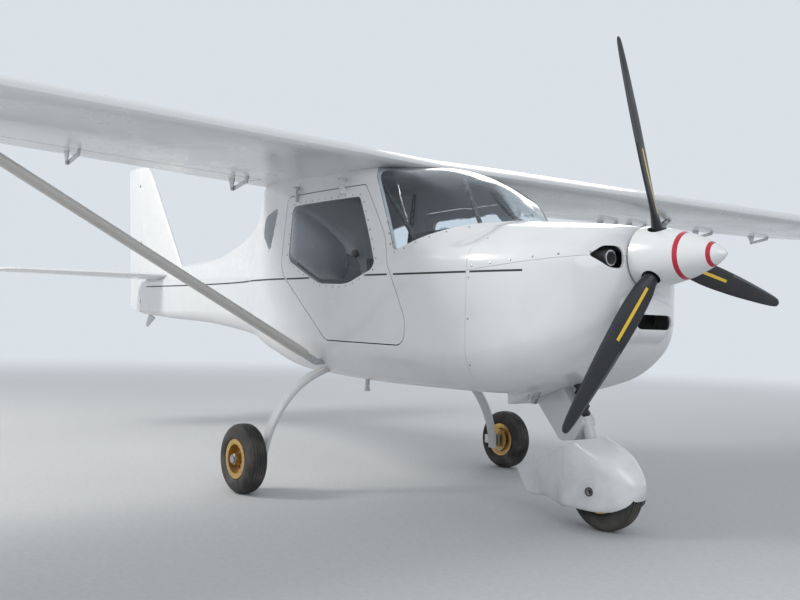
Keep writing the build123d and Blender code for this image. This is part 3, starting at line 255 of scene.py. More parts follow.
def addFinish(name, look):
    material = bpy.data.materials.new(name)
    material.use_nodes = True
    tree = material.node_tree
    shader = tree.nodes["Principled BSDF"]
    shader.inputs["Metallic"].default_value = look["metal"]
    shader.inputs["Coat Weight"].default_value = look["coat"]
    shader.inputs["Coat Roughness"].default_value = 0.06
    drift = placeGroup(tree, "toneDrift", Color=look["colour"], Scale=look["driftScale"],
                       Amount=look["drift"])
    colour = drift.outputs["Color"]
    roughness = rangeNode(tree, drift.outputs["Value"], 0.3, 0.7, look["rough"] * 0.8, look["rough"] * 1.2)
    if "wear" in look:
        wear = placeGroup(tree, "edgeWear", Amount=look["wear"])
        colour = mixColours(tree, wear.outputs["Mask"], colour, look["wearColour"])
    dust = placeGroup(tree, "dustFilm", Amount=look["dust"], Height=0.5)
    colour = mixColours(tree, dust.outputs["Mask"], colour, dustColour)
    roughness = mathNode(tree, "ADD", roughness, mathNode(tree, "MULTIPLY", dust.outputs["Mask"], 0.3))
    tree.links.new(colour, shader.inputs["Base Color"])
    tree.links.new(roughness, shader.inputs["Roughness"])
    grain = placeGroup(tree, "fineGrain", Scale=float(look["grain"]), Coarse=0.3)
    bump = tree.nodes.new("ShaderNodeBump")
    bump.inputs["Strength"].default_value = min(1.0, look["bump"] * 2)
    bump.inputs["Distance"].default_value = 0.0006
    tree.links.new(grain.outputs["Height"], bump.inputs["Height"])
    tree.links.new(bump.outputs[0], shader.inputs["Normal"])
    materials[name] = material
    return material


for finishName, look in finishes.items():
    addFinish(finishName, look)


# Clear acrylic, faintly blue, with hairline scuffs
glassSettings = {"tint": (0.90, 0.95, 0.98), "rough": 0.015, "index": 1.3, "scuffColour": (0.8, 0.83, 0.85)}
hazeSettings = dict(glassSettings, rough=0.34, tint=(0.86, 0.88, 0.92))


def addGlass(name, settings):
    material = bpy.data.materials.new(name)
    material.use_nodes = True
    tree = material.node_tree
    shader = tree.nodes["Principled BSDF"]
    shader.inputs["Transmission Weight"].default_value = 1.0
    shader.inputs["IOR"].default_value = settings["index"]
    place = tree.nodes.new("ShaderNodeTexCoord").outputs["Object"]
    scuffs = rangeNode(tree, noiseNode(tree, place, 30.0, 8.0, (1, 1, 12)), 0.62, 0.8)
    tree.links.new(rangeNode(tree, scuffs, 0, 1, settings["rough"], 0.12), shader.inputs["Roughness"])
    colour = mixColours(tree, scuffs, settings["tint"], settings["scuffColour"])
    tree.links.new(colour, shader.inputs["Base Color"])
    materials[name] = material


addGlass("clearAcrylic", glassSettings)
addGlass("hazyAcrylic", hazeSettings)
print("materials made:", len(materials))

# Floor, backdrop and lamps
stageSettings = {"floorColour": (0.60, 0.61, 0.62), "skyColour": (0.70, 0.75, 0.80), "reach": 60,
                 "fadeStart": 4.0, "fadeEnd": 17.0, "ambient": 0.55, "ambientColour": (0.93, 0.96, 1.0, 1)}
# Each lamp: place, aim, size, power, colour
lampRows = {
    "keyLamp": ((-3.0, -7.4, 6.2), (0.6, 0, 0.9), 3.2, 560.0, (1, 0.97, 0.92)),
    "fillLamp": ((8.0, -2.5, 4.0), (0.8, 0, 0.8), 5.0, 130.0, (0.94, 0.97, 1)),
    "rimLamp": ((-4.5, 7.0, 5.5), (0, 0, 0.9), 4.0, 110.0, (1, 0.98, 0.95)),
}


def blendInto(tree, factor, first, second, output):
    blend = tree.nodes.new("ShaderNodeMixShader")
    for socket, source in zip(blend.inputs, (factor, first.outputs[0], second.outputs[0])):
        tree.links.new(source, socket)
    tree.links.new(blend.outputs[0], tree.nodes[output].inputs["Surface"])


def addStage(settings):
    mesh = bpy.data.meshes.new("floor")
    ring = [(settings["reach"] * math.cos(a), settings["reach"] * math.sin(a), 0)
            for a in np.linspace(0, 2 * math.pi, 96, endpoint=False)]
    mesh.from_pydata(ring, [], [tuple(range(len(ring)))])
    floor = bpy.data.objects.new("floor", mesh)
    bpy.context.scene.collection.objects.link(floor)
    material = bpy.data.materials.new("floorPaint")
    material.use_nodes = True
    tree = material.node_tree
    shader = tree.nodes["Principled BSDF"]
    shader.inputs["Roughness"].default_value = 0.85
    place = tree.nodes.new("ShaderNodeTexCoord").outputs["Object"]
    distance = tree.nodes.new("ShaderNodeVectorMath")
    distance.operation = "LENGTH"
    tree.links.new(place, distance.inputs[0])
    tone = rangeNode(tree, noiseNode(tree, place, 40.0, 8.0), 0.3, 0.7)
    darker = tuple(c * 0.94 for c in settings["floorColour"])
    tree.links.new(mixColours(tree, tone, settings["floorColour"], darker), shader.inputs["Base Color"])
    glow = tree.nodes.new("ShaderNodeEmission")
    glow.inputs["Color"].default_value = (*settings["skyColour"], 1)
    fade = rangeNode(tree, distance.outputs["Value"], settings["fadeStart"], settings["fadeEnd"])
    blendInto(tree, fade, shader, glow, "Material Output")
    mesh.materials.append(material)

    world = bpy.data.worlds.new("backdrop")
    world.use_nodes = True
    bpy.context.scene.world = world
    tree = world.node_tree
    soft = tree.nodes["Background"]
    soft.inputs["Color"].default_value = settings["ambientColour"]
    soft.inputs["Strength"].default_value = settings["ambient"]
    plain = tree.nodes.new("ShaderNodeBackground")
    plain.inputs["Color"].default_value = (*settings["skyColour"], 1)
    rays = tree.nodes.new("ShaderNodeLightPath")
    seen = mathNode(tree, "MAXIMUM", rays.outputs["Is Camera Ray"], rays.outputs["Is Glossy Ray"])
    seen = mathNode(tree, "MAXIMUM", seen, rays.outputs["Is Transmission Ray"])
    blendInto(tree, seen, soft, plain, "World Output")


def addLamp(name, place, aim, size, power, colour):
    data = bpy.data.lights.new(name, "AREA")
    data.shape = "DISK"
    data.size = size
    data.energy = power
    data.color = colour
    lamp = bpy.data.objects.new(name, data)
    bpy.context.scene.collection.objects.link(lamp)
    way = Vector(aim) - Vector(place)
    lamp.rotation_euler = way.to_track_quat("-Z", "Y").to_euler()
    lamp.location = place


addStage(stageSettings)
for lampName, row in lampRows.items():
    addLamp(lampName, *row)
print("stage ready")


# Mesh helpers
def newPiece(name, points, faces):
    mesh = bpy.data.meshes.new(name)
    mesh.from_pydata([tuple(p) for p in points], [], [tuple(f) for f in faces])
    piece = bpy.data.objects.new(name, mesh)
    bpy.context.scene.collection.objects.link(piece)
    return piece


def tidyFaces(piece):
    work = bmesh.new()
    work.from_mesh(piece.data)
    bmesh.ops.remove_doubles(work, verts=work.verts, dist=1e-6)
    bmesh.ops.recalc_face_normals(work, faces=work.faces)
    work.to_mesh(piece.data)
    work.free()
    return piece


def dress(piece, finish, body, angle=32):
    piece.data.materials.clear()
    piece.data.materials.append(materials[finish])
    piece.data.shade_smooth()
    piece.data.set_sharp_from_angle(angle=math.radians(angle))
    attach(piece, body)
    return piece


def applied(piece):
    graph = bpy.context.evaluated_depsgraph_get()
    mesh = bpy.data.meshes.new_from_object(piece.evaluated_get(graph))
    piece.modifiers.clear()
    old = piece.data
    piece.data = mesh
    bpy.data.meshes.remove(old)
    mesh.name = piece.name
    return piece


def discard(*pieces):
    for piece in pieces:
        mesh = piece.data
        bpy.data.objects.remove(piece)
        bpy.data.meshes.remove(mesh)


def combine(piece, tools, operation="DIFFERENCE"):
    for tool in tools:
        step = piece.modifiers.new("step", "BOOLEAN")
        step.operation = operation
        step.solver = "EXACT"
        step.object = tool
    return applied(piece)


def copyOf(piece, name):
    other = bpy.data.objects.new(name, piece.data.copy())
    bpy.context.scene.collection.objects.link(other)
    return other


def mirrorOf(piece, name):
    other = copyOf(piece, name)
    other.data.transform(Matrix.Scale(-1, 4, (0, 1, 0)))
    other.data.flip_normals()
    return other


# Dresses a left-hand form's copy and its mirror image; {} in body and node stands for the side
def bothSides(form, name, finish, body, angle=32, node=None):
    for side, make in (("left", copyOf), ("right", mirrorOf)):
        piece = make(form, name + side.capitalize())
        dress(piece, finish, body.format(side), angle)
        if node:
            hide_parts(node.format(side))
    discard(form)


def joined(name, pieces):
    points, faces = [], []
    for piece in pieces:
        start = len(points)
        points += [v.co.copy() for v in piece.data.vertices]
        faces += [[start + i for i in polygon.vertices] for polygon in piece.data.polygons]
    discard(*pieces)
    return newPiece(name, points, faces)


# Rounds the corners of a closed outline, moved in by inset; one run of points for each corner
def roundCorners(points, radii, inset=0.0, steps=8):
    corners = [Vector(p) for p in points]
    count = len(corners)
    counts = steps if isinstance(steps, (list, tuple)) else [steps] * count
    moved = []
    for i, corner in enumerate(corners):
        back = (corners[i - 1] - corner).normalized()
        ahead = (corners[(i + 1) % count] - corner).normalized()
        moved.append(corner + (back + ahead).normalized() * (inset / math.sin(back.angle(ahead) / 2)))
    runs = []
    for i, corner in enumerate(moved):
        back = moved[i - 1] - corner
        ahead = moved[(i + 1) % count] - corner
        halfTurn = max(1e-4, (math.pi - back.angle(ahead)) / 2)
        wanted = max(radii[i] - inset, 0.001) * math.tan(halfTurn)
        reach = min(wanted, 0.47 * back.length, 0.47 * ahead.length)
        radius = reach / math.tan(halfTurn)
        middle = (back.normalized() + ahead.normalized()).normalized()
        centre = corner + middle * (radius / math.cos(halfTurn))
        start = corner + back.normalized() * reach - centre
        end = corner + ahead.normalized() * reach - centre
        turn = 2 * halfTurn
        shares = [k / counts[i] for k in range(counts[i] + 1)]
        runs.append([centre + (start * math.sin((1 - u) * turn) + end * math.sin(u * turn)) / math.sin(turn)
                     for u in shares])
    return runs


def roundedOutline(points, radii, inset=0.0, steps=8):
    return [p for run in roundCorners(points, radii, inset, steps) for p in run]


# Closed solid between an outline's two copies; the outline lies in the plane of across and up
def prism(name, outline, origin, across, up, low, high):
    origin, across, up = Vector(origin), Vector(across).normalized(), Vector(up).normalized()
    way = across.cross(up)
    count = len(outline)
    base = [origin + across * p[0] + up * p[1] for p in outline]
    points = [p + way * low for p in base] + [p + way * high for p in base]
    faces = [tuple(range(count))[::-1], tuple(range(count, 2 * count))]
    faces += [(i, (i + 1) % count, (i + 1) % count + count, i + count) for i in range(count)]
    return tidyFaces(newPiece(name, points, faces))


def sidePrism(name, outline, radii, low, high, grow=0.0, steps=10):
    line = roundedOutline(outline, radii, -grow, steps) if radii else outline
    return prism(name, line, (0, 0, 0), (1, 0, 0), (0, 0, 1), -high, -low)


def boxPiece(name, low, high):
    (ax, ay, az), (bx, by, bz) = low, high
    return prism(name, [(ax, ay), (bx, ay), (bx, by), (ax, by)], (0, 0, 0), (1, 0, 0), (0, 1, 0), az, bz)


# Solid through a row of equal loops
def skin(name, rings, closed=True):
    count = len(rings[0])
    points = [p for ring in rings for p in ring]
    faces = []
    for k in range(len(rings) - 1):
        for j in range(count):
            a, b = k * count + j, k * count + (j + 1) % count
            faces.append((a, b, b + count, a + count))
    if closed:
        faces.append(tuple(range(count))[::-1])
        faces.append(tuple(range(len(points) - count, len(points))))
    return tidyFaces(newPiece(name, points, faces))


# Turned solid: a closed profile of (along, radius) about an axis
def turned(name, profile, origin, axis, segments=96):
    origin, axis = Vector(origin), Vector(axis).normalized()
    side = axis.orthogonal().normalized()
    other = axis.cross(side)
    points, faces = [], []
    count = len(profile)
    for k in range(segments):
        turn = 2 * math.pi * k / segments
        way = side * math.cos(turn) + other * math.sin(turn)
        points += [origin + axis * u + way * r for u, r in profile]
        for j in range(count):
            a, b = k * count + j, k * count + (j + 1) % count
            c = (k + 1) % segments * count
            faces.append((a, b, c + (j + 1) % count, c + j))
    return tidyFaces(newPiece(name, points, faces))


def bar(name, start, end, radius, segments=24):
    way = Vector(end) - Vector(start)
    return turned(name, [(0, 0), (0, radius), (way.length, radius), (way.length, 0)], start, way, segments)


# Smooth rise through knots with no overshoot, one column for each value
def smoothCurve(knots, values, places):
    knots, values, places = (np.array(v, float) for v in (knots, values, places))
    gaps = np.diff(knots)[:, None]
    rates = np.diff(values, axis=0) / gaps
    slopes = np.zeros_like(values)
    slopes[0], slopes[-1] = rates[0], rates[-1]
    total = rates[:-1] + rates[1:]
    product = rates[:-1] * rates[1:]
    slopes[1:-1] = np.where(product > 0, 2 * product / np.where(total == 0, 1, total), 0)
    index = np.clip(np.searchsorted(knots, places) - 1, 0, len(knots) - 2)
    width = gaps[index]
    t = ((places - knots[index]) / (knots[index + 1] - knots[index]))[:, None]
    return ((2 * t**3 - 3 * t**2 + 1) * values[index] + (t**3 - 2 * t**2 + t) * width * slopes[index]
            + (3 * t**2 - 2 * t**3) * values[index + 1] + (t**3 - t**2) * width * slopes[index + 1])


# Body: stations along the aircraft. For the belly corner, sill, shoulder and crown:
# half width, height, corner radius
bodySettings = {
    "stations": [
        (-2.452, (0.056, 0.882, 0.035), (0.062, 1.14, 0.024), (0.032, 1.205, 0.025), (0, 1.236, 0.08)),
        (-1.8, (0.112, 0.847, 0.06), (0.13, 1.14, 0.04), (0.062, 1.225, 0.04), (0, 1.262, 0.16)),
        (-1.1, (0.17, 0.818, 0.09), (0.195, 1.13, 0.05), (0.1, 1.25, 0.05), (0, 1.296, 0.22)),
        (-0.62, (0.235, 0.783, 0.11), (0.265, 1.118, 0.06), (0.132, 1.335, 0.06), (0, 1.392, 0.26)),
        (-0.33, (0.285, 0.757, 0.13), (0.318, 1.105, 0.06), (0.168, 1.425, 0.07), (0, 1.492, 0.33)),
        (-0.06, (0.345, 0.722, 0.15), (0.385, 1.09, 0.06), (0.265, 1.545, 0.08), (0, 1.63, 0.6)),
        (0.25, (0.44, 0.655, 0.18), (0.478, 1.07, 0.06), (0.41, 1.64, 0.06), (0, 1.69, 1.2)),
        (0.7, (0.515, 0.572, 0.215), (0.54, 1.05, 0.06), (0.462, 1.665, 0.05), (0, 1.706, 1.5)),
        (1.4, (0.514, 0.543, 0.215), (0.531, 1.068, 0.065), (0.415, 1.556, 0.1), (0, 1.622, 0.9)),
        (1.66, (0.505, 0.541, 0.21), (0.51, 1.112, 0.075), (0.335, 1.44, 0.115), (0, 1.545, 0.56)),
        (1.8, (0.496, 0.541, 0.205), (0.497, 1.128, 0.09), (0.24, 1.348, 0.11), (0, 1.442, 0.46)),
        (1.9, (0.487, 0.541, 0.2), (0.488, 1.135, 0.1), (0.19, 1.277, 0.12), (0, 1.318, 0.5)),
        (2.03, (0.475, 0.542, 0.2), (0.478, 1.135, 0.11), (0.24, 1.262, 0.2), (0, 1.306, 0.7)),
        (2.25, (0.432, 0.592, 0.18), (0.425, 1.13, 0.11), (0.215, 1.24, 0.17), (0, 1.28, 0.6)),
        (2.43, (0.322, 0.69, 0.15), (0.325, 1.11, 0.1), (0.17, 1.22, 0.12), (0, 1.256, 0.42)),
        (2.528, (0.19, 0.782, 0.09), (0.19, 1.09, 0.08), (0.095, 1.2, 0.06), (0, 1.238, 0.2)),
    ],
    "arcSteps": (12, 6, 8, 14), "flatSteps": 7, "tailEnd": -2.452, "joint": 0.1, "firewall": 2.03,
    "front": 2.528, "cabinWall": 0.022, "tailWall": 0.009, "cowlWall": 0.009,
    "bulkhead": 0.014, "pane": 0.005, "spacing": 0.02,
}


def sectionRing(x, row, inset, arcSteps, flatSteps):
    half = [(row[i], row[i + 1], row[i + 2]) for i in range(0, len(row), 3)]
    both = half + [(-w, z, r) for w, z, r in half[-2::-1]]
    counts = list(arcSteps) + list(arcSteps[-2::-1])
    runs = roundCorners([(w, z) for w, z, _ in both], [r for *_, r in both], inset, counts)
    ring = []
    for i, run in enumerate(runs):
        ring += [(x, p.x, p.y) for p in run]
        after = runs[(i + 1) % len(runs)][0]
        for k in range(1, flatSteps):
            p = run[-1].lerp(after, k / flatSteps)
            ring.append((x, p.x, p.y))
    return ring


def bodyRings(stations, places, inset, arcSteps, flatSteps, frontRound=0.0):
    knots = [row[0] for row in stations]
    values = [[v for corner in row[1:] for v in corner] for row in stations]
    rows = smoothCurve(knots, values, places)
    rings = []
    for x, row in zip(places, rows):
        extra = 0.0
        if frontRound:
            ahead = max(0.0, x - (places[-1] - frontRound))
            extra = frontRound - math.sqrt(max(0.0, frontRound**2 - ahead**2))
        rings.append(sectionRing(x, row, inset + extra * 0.8, arcSteps, flatSteps))
    return rings


def bodySkin(name, low, high, inset, spacing):
    s = bodySettings
    places = np.linspace(low, high, max(3, int((high - low) / spacing) + 1))
    return skin(name, bodyRings(s["stations"], places, inset, s["arcSteps"], s["flatSteps"]))


openingSettings = {
    "door": [(0.596, 1.492), (1.262, 1.492), (1.47, 1.235), (1.662, 0.85), (1.662, 0.732), (1.06, 0.742),
             (0.622, 1.11)],
    "doorRadii": [0.03, 0.03, 0.4, 0.12, 0.052, 0.06, 0.16], "doorGap": 0.005,
    "glass": [(0.664, 1.438), (1.236, 1.438), (1.462, 1.082), (1.24, 1.01), (1.01, 1.018), (0.69, 1.15)],
    "glassRadii": [0.034, 0.034, 0.036, 0.3, 0.2, 0.07],
    "quarter": [(0.482, 1.452), (0.3, 1.415), (0.3, 1.31), (0.44, 1.205)],
    "quarterRadii": [0.024, 0.04, 0.06, 0.024],
    "screen": [(1.912, 1.304), (1.56, 1.15), (1.345, 1.5), (1.255, 1.64), (1.23, 1.76), (2.08, 1.76),
               (2.08, 1.33)],
    "screenRadii": [0.04, 0.036, 0.3, 0.2, 0.005, 0.005, 0.005],
}


def openingTool(key, low, high, grow=0.0):
    s = openingSettings
    return sidePrism(key + "Tool", s[key], s[key + "Radii"], low, high, grow, 12)


# Pane cut from the skin by an opening's tool, which it uses up
def paneOf(name, tool, low, high, spacing):
    pane = bodySkin(name, low, high, 0.001, spacing)
    behind = bodySkin("behind", low - 0.05, high + 0.05, bodySettings["pane"], spacing)
    combine(pane, [behind])
    combine(pane, [tool], "INTERSECT")
    discard(behind, tool)
    return pane


def buildCabin():
    s, o = bodySettings, openingSettings
    shell = bodySkin("cabinShell", s["joint"], s["firewall"], 0.0, s["spacing"])
    inner = bodySkin("cabinRoom", s["joint"] + s["bulkhead"], s["firewall"] - s["bulkhead"], s["cabinWall"],
                     0.05)
    tools = [inner, openingTool("screen", -0.8, 0.8)]
    for low, high in ((0.33, 0.8), (-0.8, -0.33)):
        tools.append(openingTool("door", low, high, o["doorGap"]))
    for low, high in ((0.2, 0.8), (-0.8, -0.2)):
        tools.append(openingTool("quarter", low, high))
    combine(shell, tools)
    discard(*tools)
    dress(shell, "gelCoat", "airframe", 28)
    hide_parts("cabin_shell")

    door = bodySkin("doorForm", 0.5, 1.75, 0.0, s["spacing"])
    doorRoom = bodySkin("doorRoom", 0.45, 1.8, s["cabinWall"], 0.05)
    combine(door, [doorRoom])
    doorTool, glassTool = openingTool("door", 0.33, 0.8), openingTool("glass", 0.33, 0.8)
    combine(door, [doorTool], "INTERSECT")
    combine(door, [glassTool])
    discard(doorRoom, doorTool)
    bothSides(door, "door", "gelCoat", "door_{}_body", 28, "door_{}")

    pane = paneOf("paneForm", glassTool, 0.2, 1.75, s["spacing"])
    bothSides(pane, "glassPane", "clearAcrylic", "door_{}_body", 28, "door_window_{}")
    pane = paneOf("paneForm", openingTool("quarter", 0.2, 0.8), 0.2, 1.75, s["spacing"])
    bothSides(pane, "quarterPane", "clearAcrylic", "airframe", 28, "quarter_window_{}")
    screen = paneOf("windscreen", openingTool("screen", -0.8, 0.8), 1.15, 2.0, 0.015)
    dress(screen, "clearAcrylic", "airframe", 28)
    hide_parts("windscreen")


def buildTailCone():
    s = bodySettings
    cone = bodySkin("tailCone", s["tailEnd"], s["joint"], 0.0, 0.03)
    inner = bodySkin("coneRoom", s["tailEnd"] + 0.02, s["joint"] + 0.05, s["tailWall"], 0.1)
    hole = bar("tubeHole", (-2.335, -0.2, 1.177), (-2.335, 0.2, 1.177), 0.021, 32)
    combine(cone, [inner, hole])
    discard(inner, hole)
    dress(cone, "gelCoat", "airframe", 28)
    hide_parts("tail_cone")


buildCabin()
print("cabin, doors and panes made")
buildTailCone()
print("tail cone made")


# Cowling: the body's own lines carried forward, with the chin and the outlet blended in
cowlSettings = {
    "chin": [
        (2.38, (0.165, 0.738, 0.05), (0.225, 0.83, 0.05), (0.19, 0.96, 0.05), (0, 1, 0.2)),
        (2.54, (0.13, 0.768, 0.045), (0.182, 0.84, 0.045), (0.16, 0.95, 0.045), (0, 0.985, 0.2)),
        (2.612, (0.085, 0.805, 0.03), (0.14, 0.85, 0.03), (0.125, 0.93, 0.03), (0, 0.955, 0.2)),
    ],
    "chinSteps": (6, 6, 6, 10), "chinSpan": (2.38, 2.612), "chinRound": 0.03, "voxel": 0.007, "smooth": 14,
    "formRear": 1.92, "frontRound": 0.05, "roomSpan": (1.9, 2.516), "roomRound": 0.03,
    "roomSteps": (6, 3, 4, 6), "drawnSpan": (2.15, 2.528),
    "outlet": [(2.26, 0.6), (1.948, 0.481), (1.948, 0.541), (2.1, 0.66), (2.26, 0.66)], "outletHalf": 0.15,
    "outletRoom": [(2.22, 0.597), (1.93, 0.492), (1.93, 0.534), (2.031, 0.534), (2.031, 0.64), (2.22, 0.64)],
    "legRoom": [(1.975, 0.56), (2.168, 0.344), (2.246, 0.354), (2.292, 0.43), (2.15, 0.6)],
    "cheek": [(0.272, 1.106), (0.205, 1.146), (0.136, 1.146), (0.128, 1.056), (0.2, 1.058)],
    "cheekRadii": [0.01, 0.06, 0.03, 0.03, 0.06], "longer": 0.034,
    "chinSlot": [(-0.105, 0.823), (0.105, 0.823), (0.105, 0.881), (-0.105, 0.881)], "slotRadii": [0.026] * 4,
    "seam": [(1.9, 1.0352), (2.528, 1.108), (2.7, 1.108), (2.7, 1.5), (1.9, 1.5)], "seamGap": 0.0012,
    "thrust": 1.108, "hole": 0.062, "firewallGap": 0.0015,
    "duct": [(0, 0.026), (0, 0.032), (0.06, 0.032), (0.06, 0.026)], "ductPlace": (2.47, 0.172, 1.098),
}


def remeshed(piece, voxel, rounds):
    step = piece.modifiers.new("remesh", "REMESH")
    step.mode = "VOXEL"
    step.voxel_size = voxel
    step = piece.modifiers.new("smooth", "SMOOTH")
    step.factor = 0.5
    step.iterations = rounds
    return applied(piece)


# Rings of the cowling's front, drawn forward to meet the spinner
def drawnForward(rings):
    moved = []
    low, high = cowlSettings["drawnSpan"]
    for ring in rings:
        share = min(1.0, max(0.0, (ring[0][0] - low) / (high - low)))
        shift = cowlSettings["longer"] * share * share * (3 - 2 * share)
        moved.append([(x + shift, y, z) for x, y, z in ring])
    return moved


def buildCowling():
    s, b = cowlSettings, bodySettings
    places = np.linspace(s["formRear"], b["front"], 60)
    rings = bodyRings(b["stations"], places, 0, b["arcSteps"], b["flatSteps"], s["frontRound"])
    form = skin("cowlForm", drawnForward(rings))
    places = np.linspace(*s["chinSpan"], 24)
    chin = skin("chinForm", bodyRings(s["chin"], places, 0, s["chinSteps"], 5, s["chinRound"]))
    outlet = sidePrism("outletForm", s["outlet"], None, -s["outletHalf"], s["outletHalf"])
    combine(form, [chin, outlet], "UNION")
    remeshed(form, s["voxel"], s["smooth"])
    discard(chin, outlet)
    places = np.linspace(*s["roomSpan"], 30)
    rings = bodyRings(b["stations"], places, b["cowlWall"] + 0.002, s["roomSteps"], 3, s["roomRound"])
    room = skin("cowlRoom", drawnForward(rings))
    places = np.linspace(s["chinSpan"][0], s["chinSpan"][1] - 0.01, 8)
    chinRoom = skin("chinRoom", bodyRings(s["chin"], places, b["cowlWall"], (4, 3, 3, 6), 3))
    roomHalf = s["outletHalf"] - b["cowlWall"]
    outletRoom = sidePrism("outletRoom", s["outletRoom"], None, -roomHalf, roomHalf)
    behind = boxPiece("behind", (1.8, -0.7, 0.541), (b["firewall"] + s["firewallGap"], 0.7, 1.5))
    under = boxPiece("under", (1.8, -0.7, 0.3), (1.948, 0.7, 0.6))
    tools = [room, chinRoom, outletRoom, behind, under]
    for side in (1, -1):
        line = roundedOutline([(side * y, z) for y, z in s["cheek"]], s["cheekRadii"])
        tools.append(prism("cheekTool", line, (0, 0, 0), (0, 1, 0), (0, 0, 1), 2.36, 2.62))
    slot = roundedOutline(s["chinSlot"], s["slotRadii"])
    tools.append(prism("slotTool", slot, (0, 0, 0), (0, 1, 0), (0, 0, 1), 2.55, 2.68))
    tools.append(bar("shaftTool", (2.48, 0, s["thrust"]), (2.62, 0, s["thrust"]), s["hole"], 48))
    tools.append(sidePrism("legTool", s["legRoom"], None, -0.045, 0.045))
    combine(form, tools)
    discard(*tools)
    lower = copyOf(form, "cowlLower")
    form.name = "cowlUpper"
    seam = sidePrism("seam", s["seam"], None, -0.7, 0.7)
    combine(form, [seam], "INTERSECT")
    seam.data.transform(Matrix.Translation((0, 0, -s["seamGap"])))
    combine(lower, [seam])
    discard(seam)
    for piece, node in ((form, "cowl_upper"), (lower, "cowl_lower")):
        dress(piece, "gelCoat", "airframe", 34)
        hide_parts(node)
    x, y, z = s["ductPlace"]
    for side in (1, -1):
        duct = turned("intakeDuct", s["duct"], (x, side * y, z), (1, 0, 0), 40)
        dress(duct, "greyAlloy", "airframe")


buildCowling()
print("cowling made")

# Propeller, spinner and its plate
propSettings = {
    "place": 2.644, "thrust": 1.108, "firstAngle": 19.93, "count": 3, "hubRadius": 0.062, "hubHalf": 0.037,
    "blade": [  # distance out, chord, thickness, angle
        (0.03, 0.052, 0.052, 30), (0.075, 0.052, 0.050, 31), (0.12, 0.060, 0.042, 32),
        (0.19, 0.084, 0.026, 29), (0.33, 0.096, 0.0165, 22), (0.5, 0.088, 0.0125, 17.5),
        (0.66, 0.07, 0.0095, 14.4), (0.78, 0.052, 0.007, 12.6), (0.835, 0.038, 0.005, 11.5),
        (0.85, 0.028, 0.004, 11.2), (0.858, 0.012, 0.003, 11)],
    "spinnerRear": 2.536, "spinnerEdge": 2.571, "spinnerTip": 2.925, "spinnerRadius": 0.124, "wall": 0.004,
    "profile": [(0, 1), (0.14, 0.985), (0.3, 0.925), (0.46, 0.825), (0.62, 0.68), (0.77, 0.5), (0.9, 0.29),
                (0.97, 0.13), (1, 0)],
    "rings": [(2.75, 2.769), (2.864, 2.879)], "ringColour": (0.48, 0.008, 0.035),
    # painted stripe and guard strip: reach along the blade, turns about its section
    "stripe": (0.17, 0.43), "stripeTurns": (1.35, 1.62), "stripeColour": (0.85, 0.55, 0.02),
    "strip": (0.46, 0.85), "stripTurns": (-0.75, 0.75), "stripColour": (0.075, 0.08, 0.09),
    "rootHole": 0.037,
}


def bladeFrame(angle):
    outward = Vector((0, -math.sin(angle), math.cos(angle)))
    return outward, Vector((1, 0, 0)).cross(outward)


def bladePoint(row, turn, outward, ahead, lift=0.0):
    reach, chord, thick, pitch = row
    pitch = math.radians(pitch)
    along = ahead * math.cos(pitch) + Vector((1, 0, 0)) * math.sin(pitch)
    face = along.cross(outward)
    s = propSettings
    centre = Vector((s["place"], 0, s["thrust"])) + outward * reach
    return centre + along * (chord / 2 * math.cos(turn)) + face * ((thick / 2 + lift) * math.sin(turn))


def bladeRows(places):
    table = propSettings["blade"]
    values = smoothCurve([r[0] for r in table], [r[1:] for r in table], places)
    return [(p, *v) for p, v in zip(places, values)]


def addRingPaint(material, rings, colour):
    tree = material.node_tree
    shader = tree.nodes["Principled BSDF"]
    old = shader.inputs["Base Color"].links[0].from_socket
    parts = tree.nodes.new("ShaderNodeSeparateXYZ")
    tree.links.new(tree.nodes.new("ShaderNodeTexCoord").outputs["Object"], parts.inputs[0])
    mask = None
    for low, high in rings:
        band = mathNode(tree, "MULTIPLY", mathNode(tree, "GREATER_THAN", parts.outputs["X"], low),
                        mathNode(tree, "LESS_THAN", parts.outputs["X"], high))
        mask = band if mask is None else mathNode(tree, "MAXIMUM", mask, band)
    tree.links.new(mixColours(tree, mask, old, colour), shader.inputs["Base Color"])


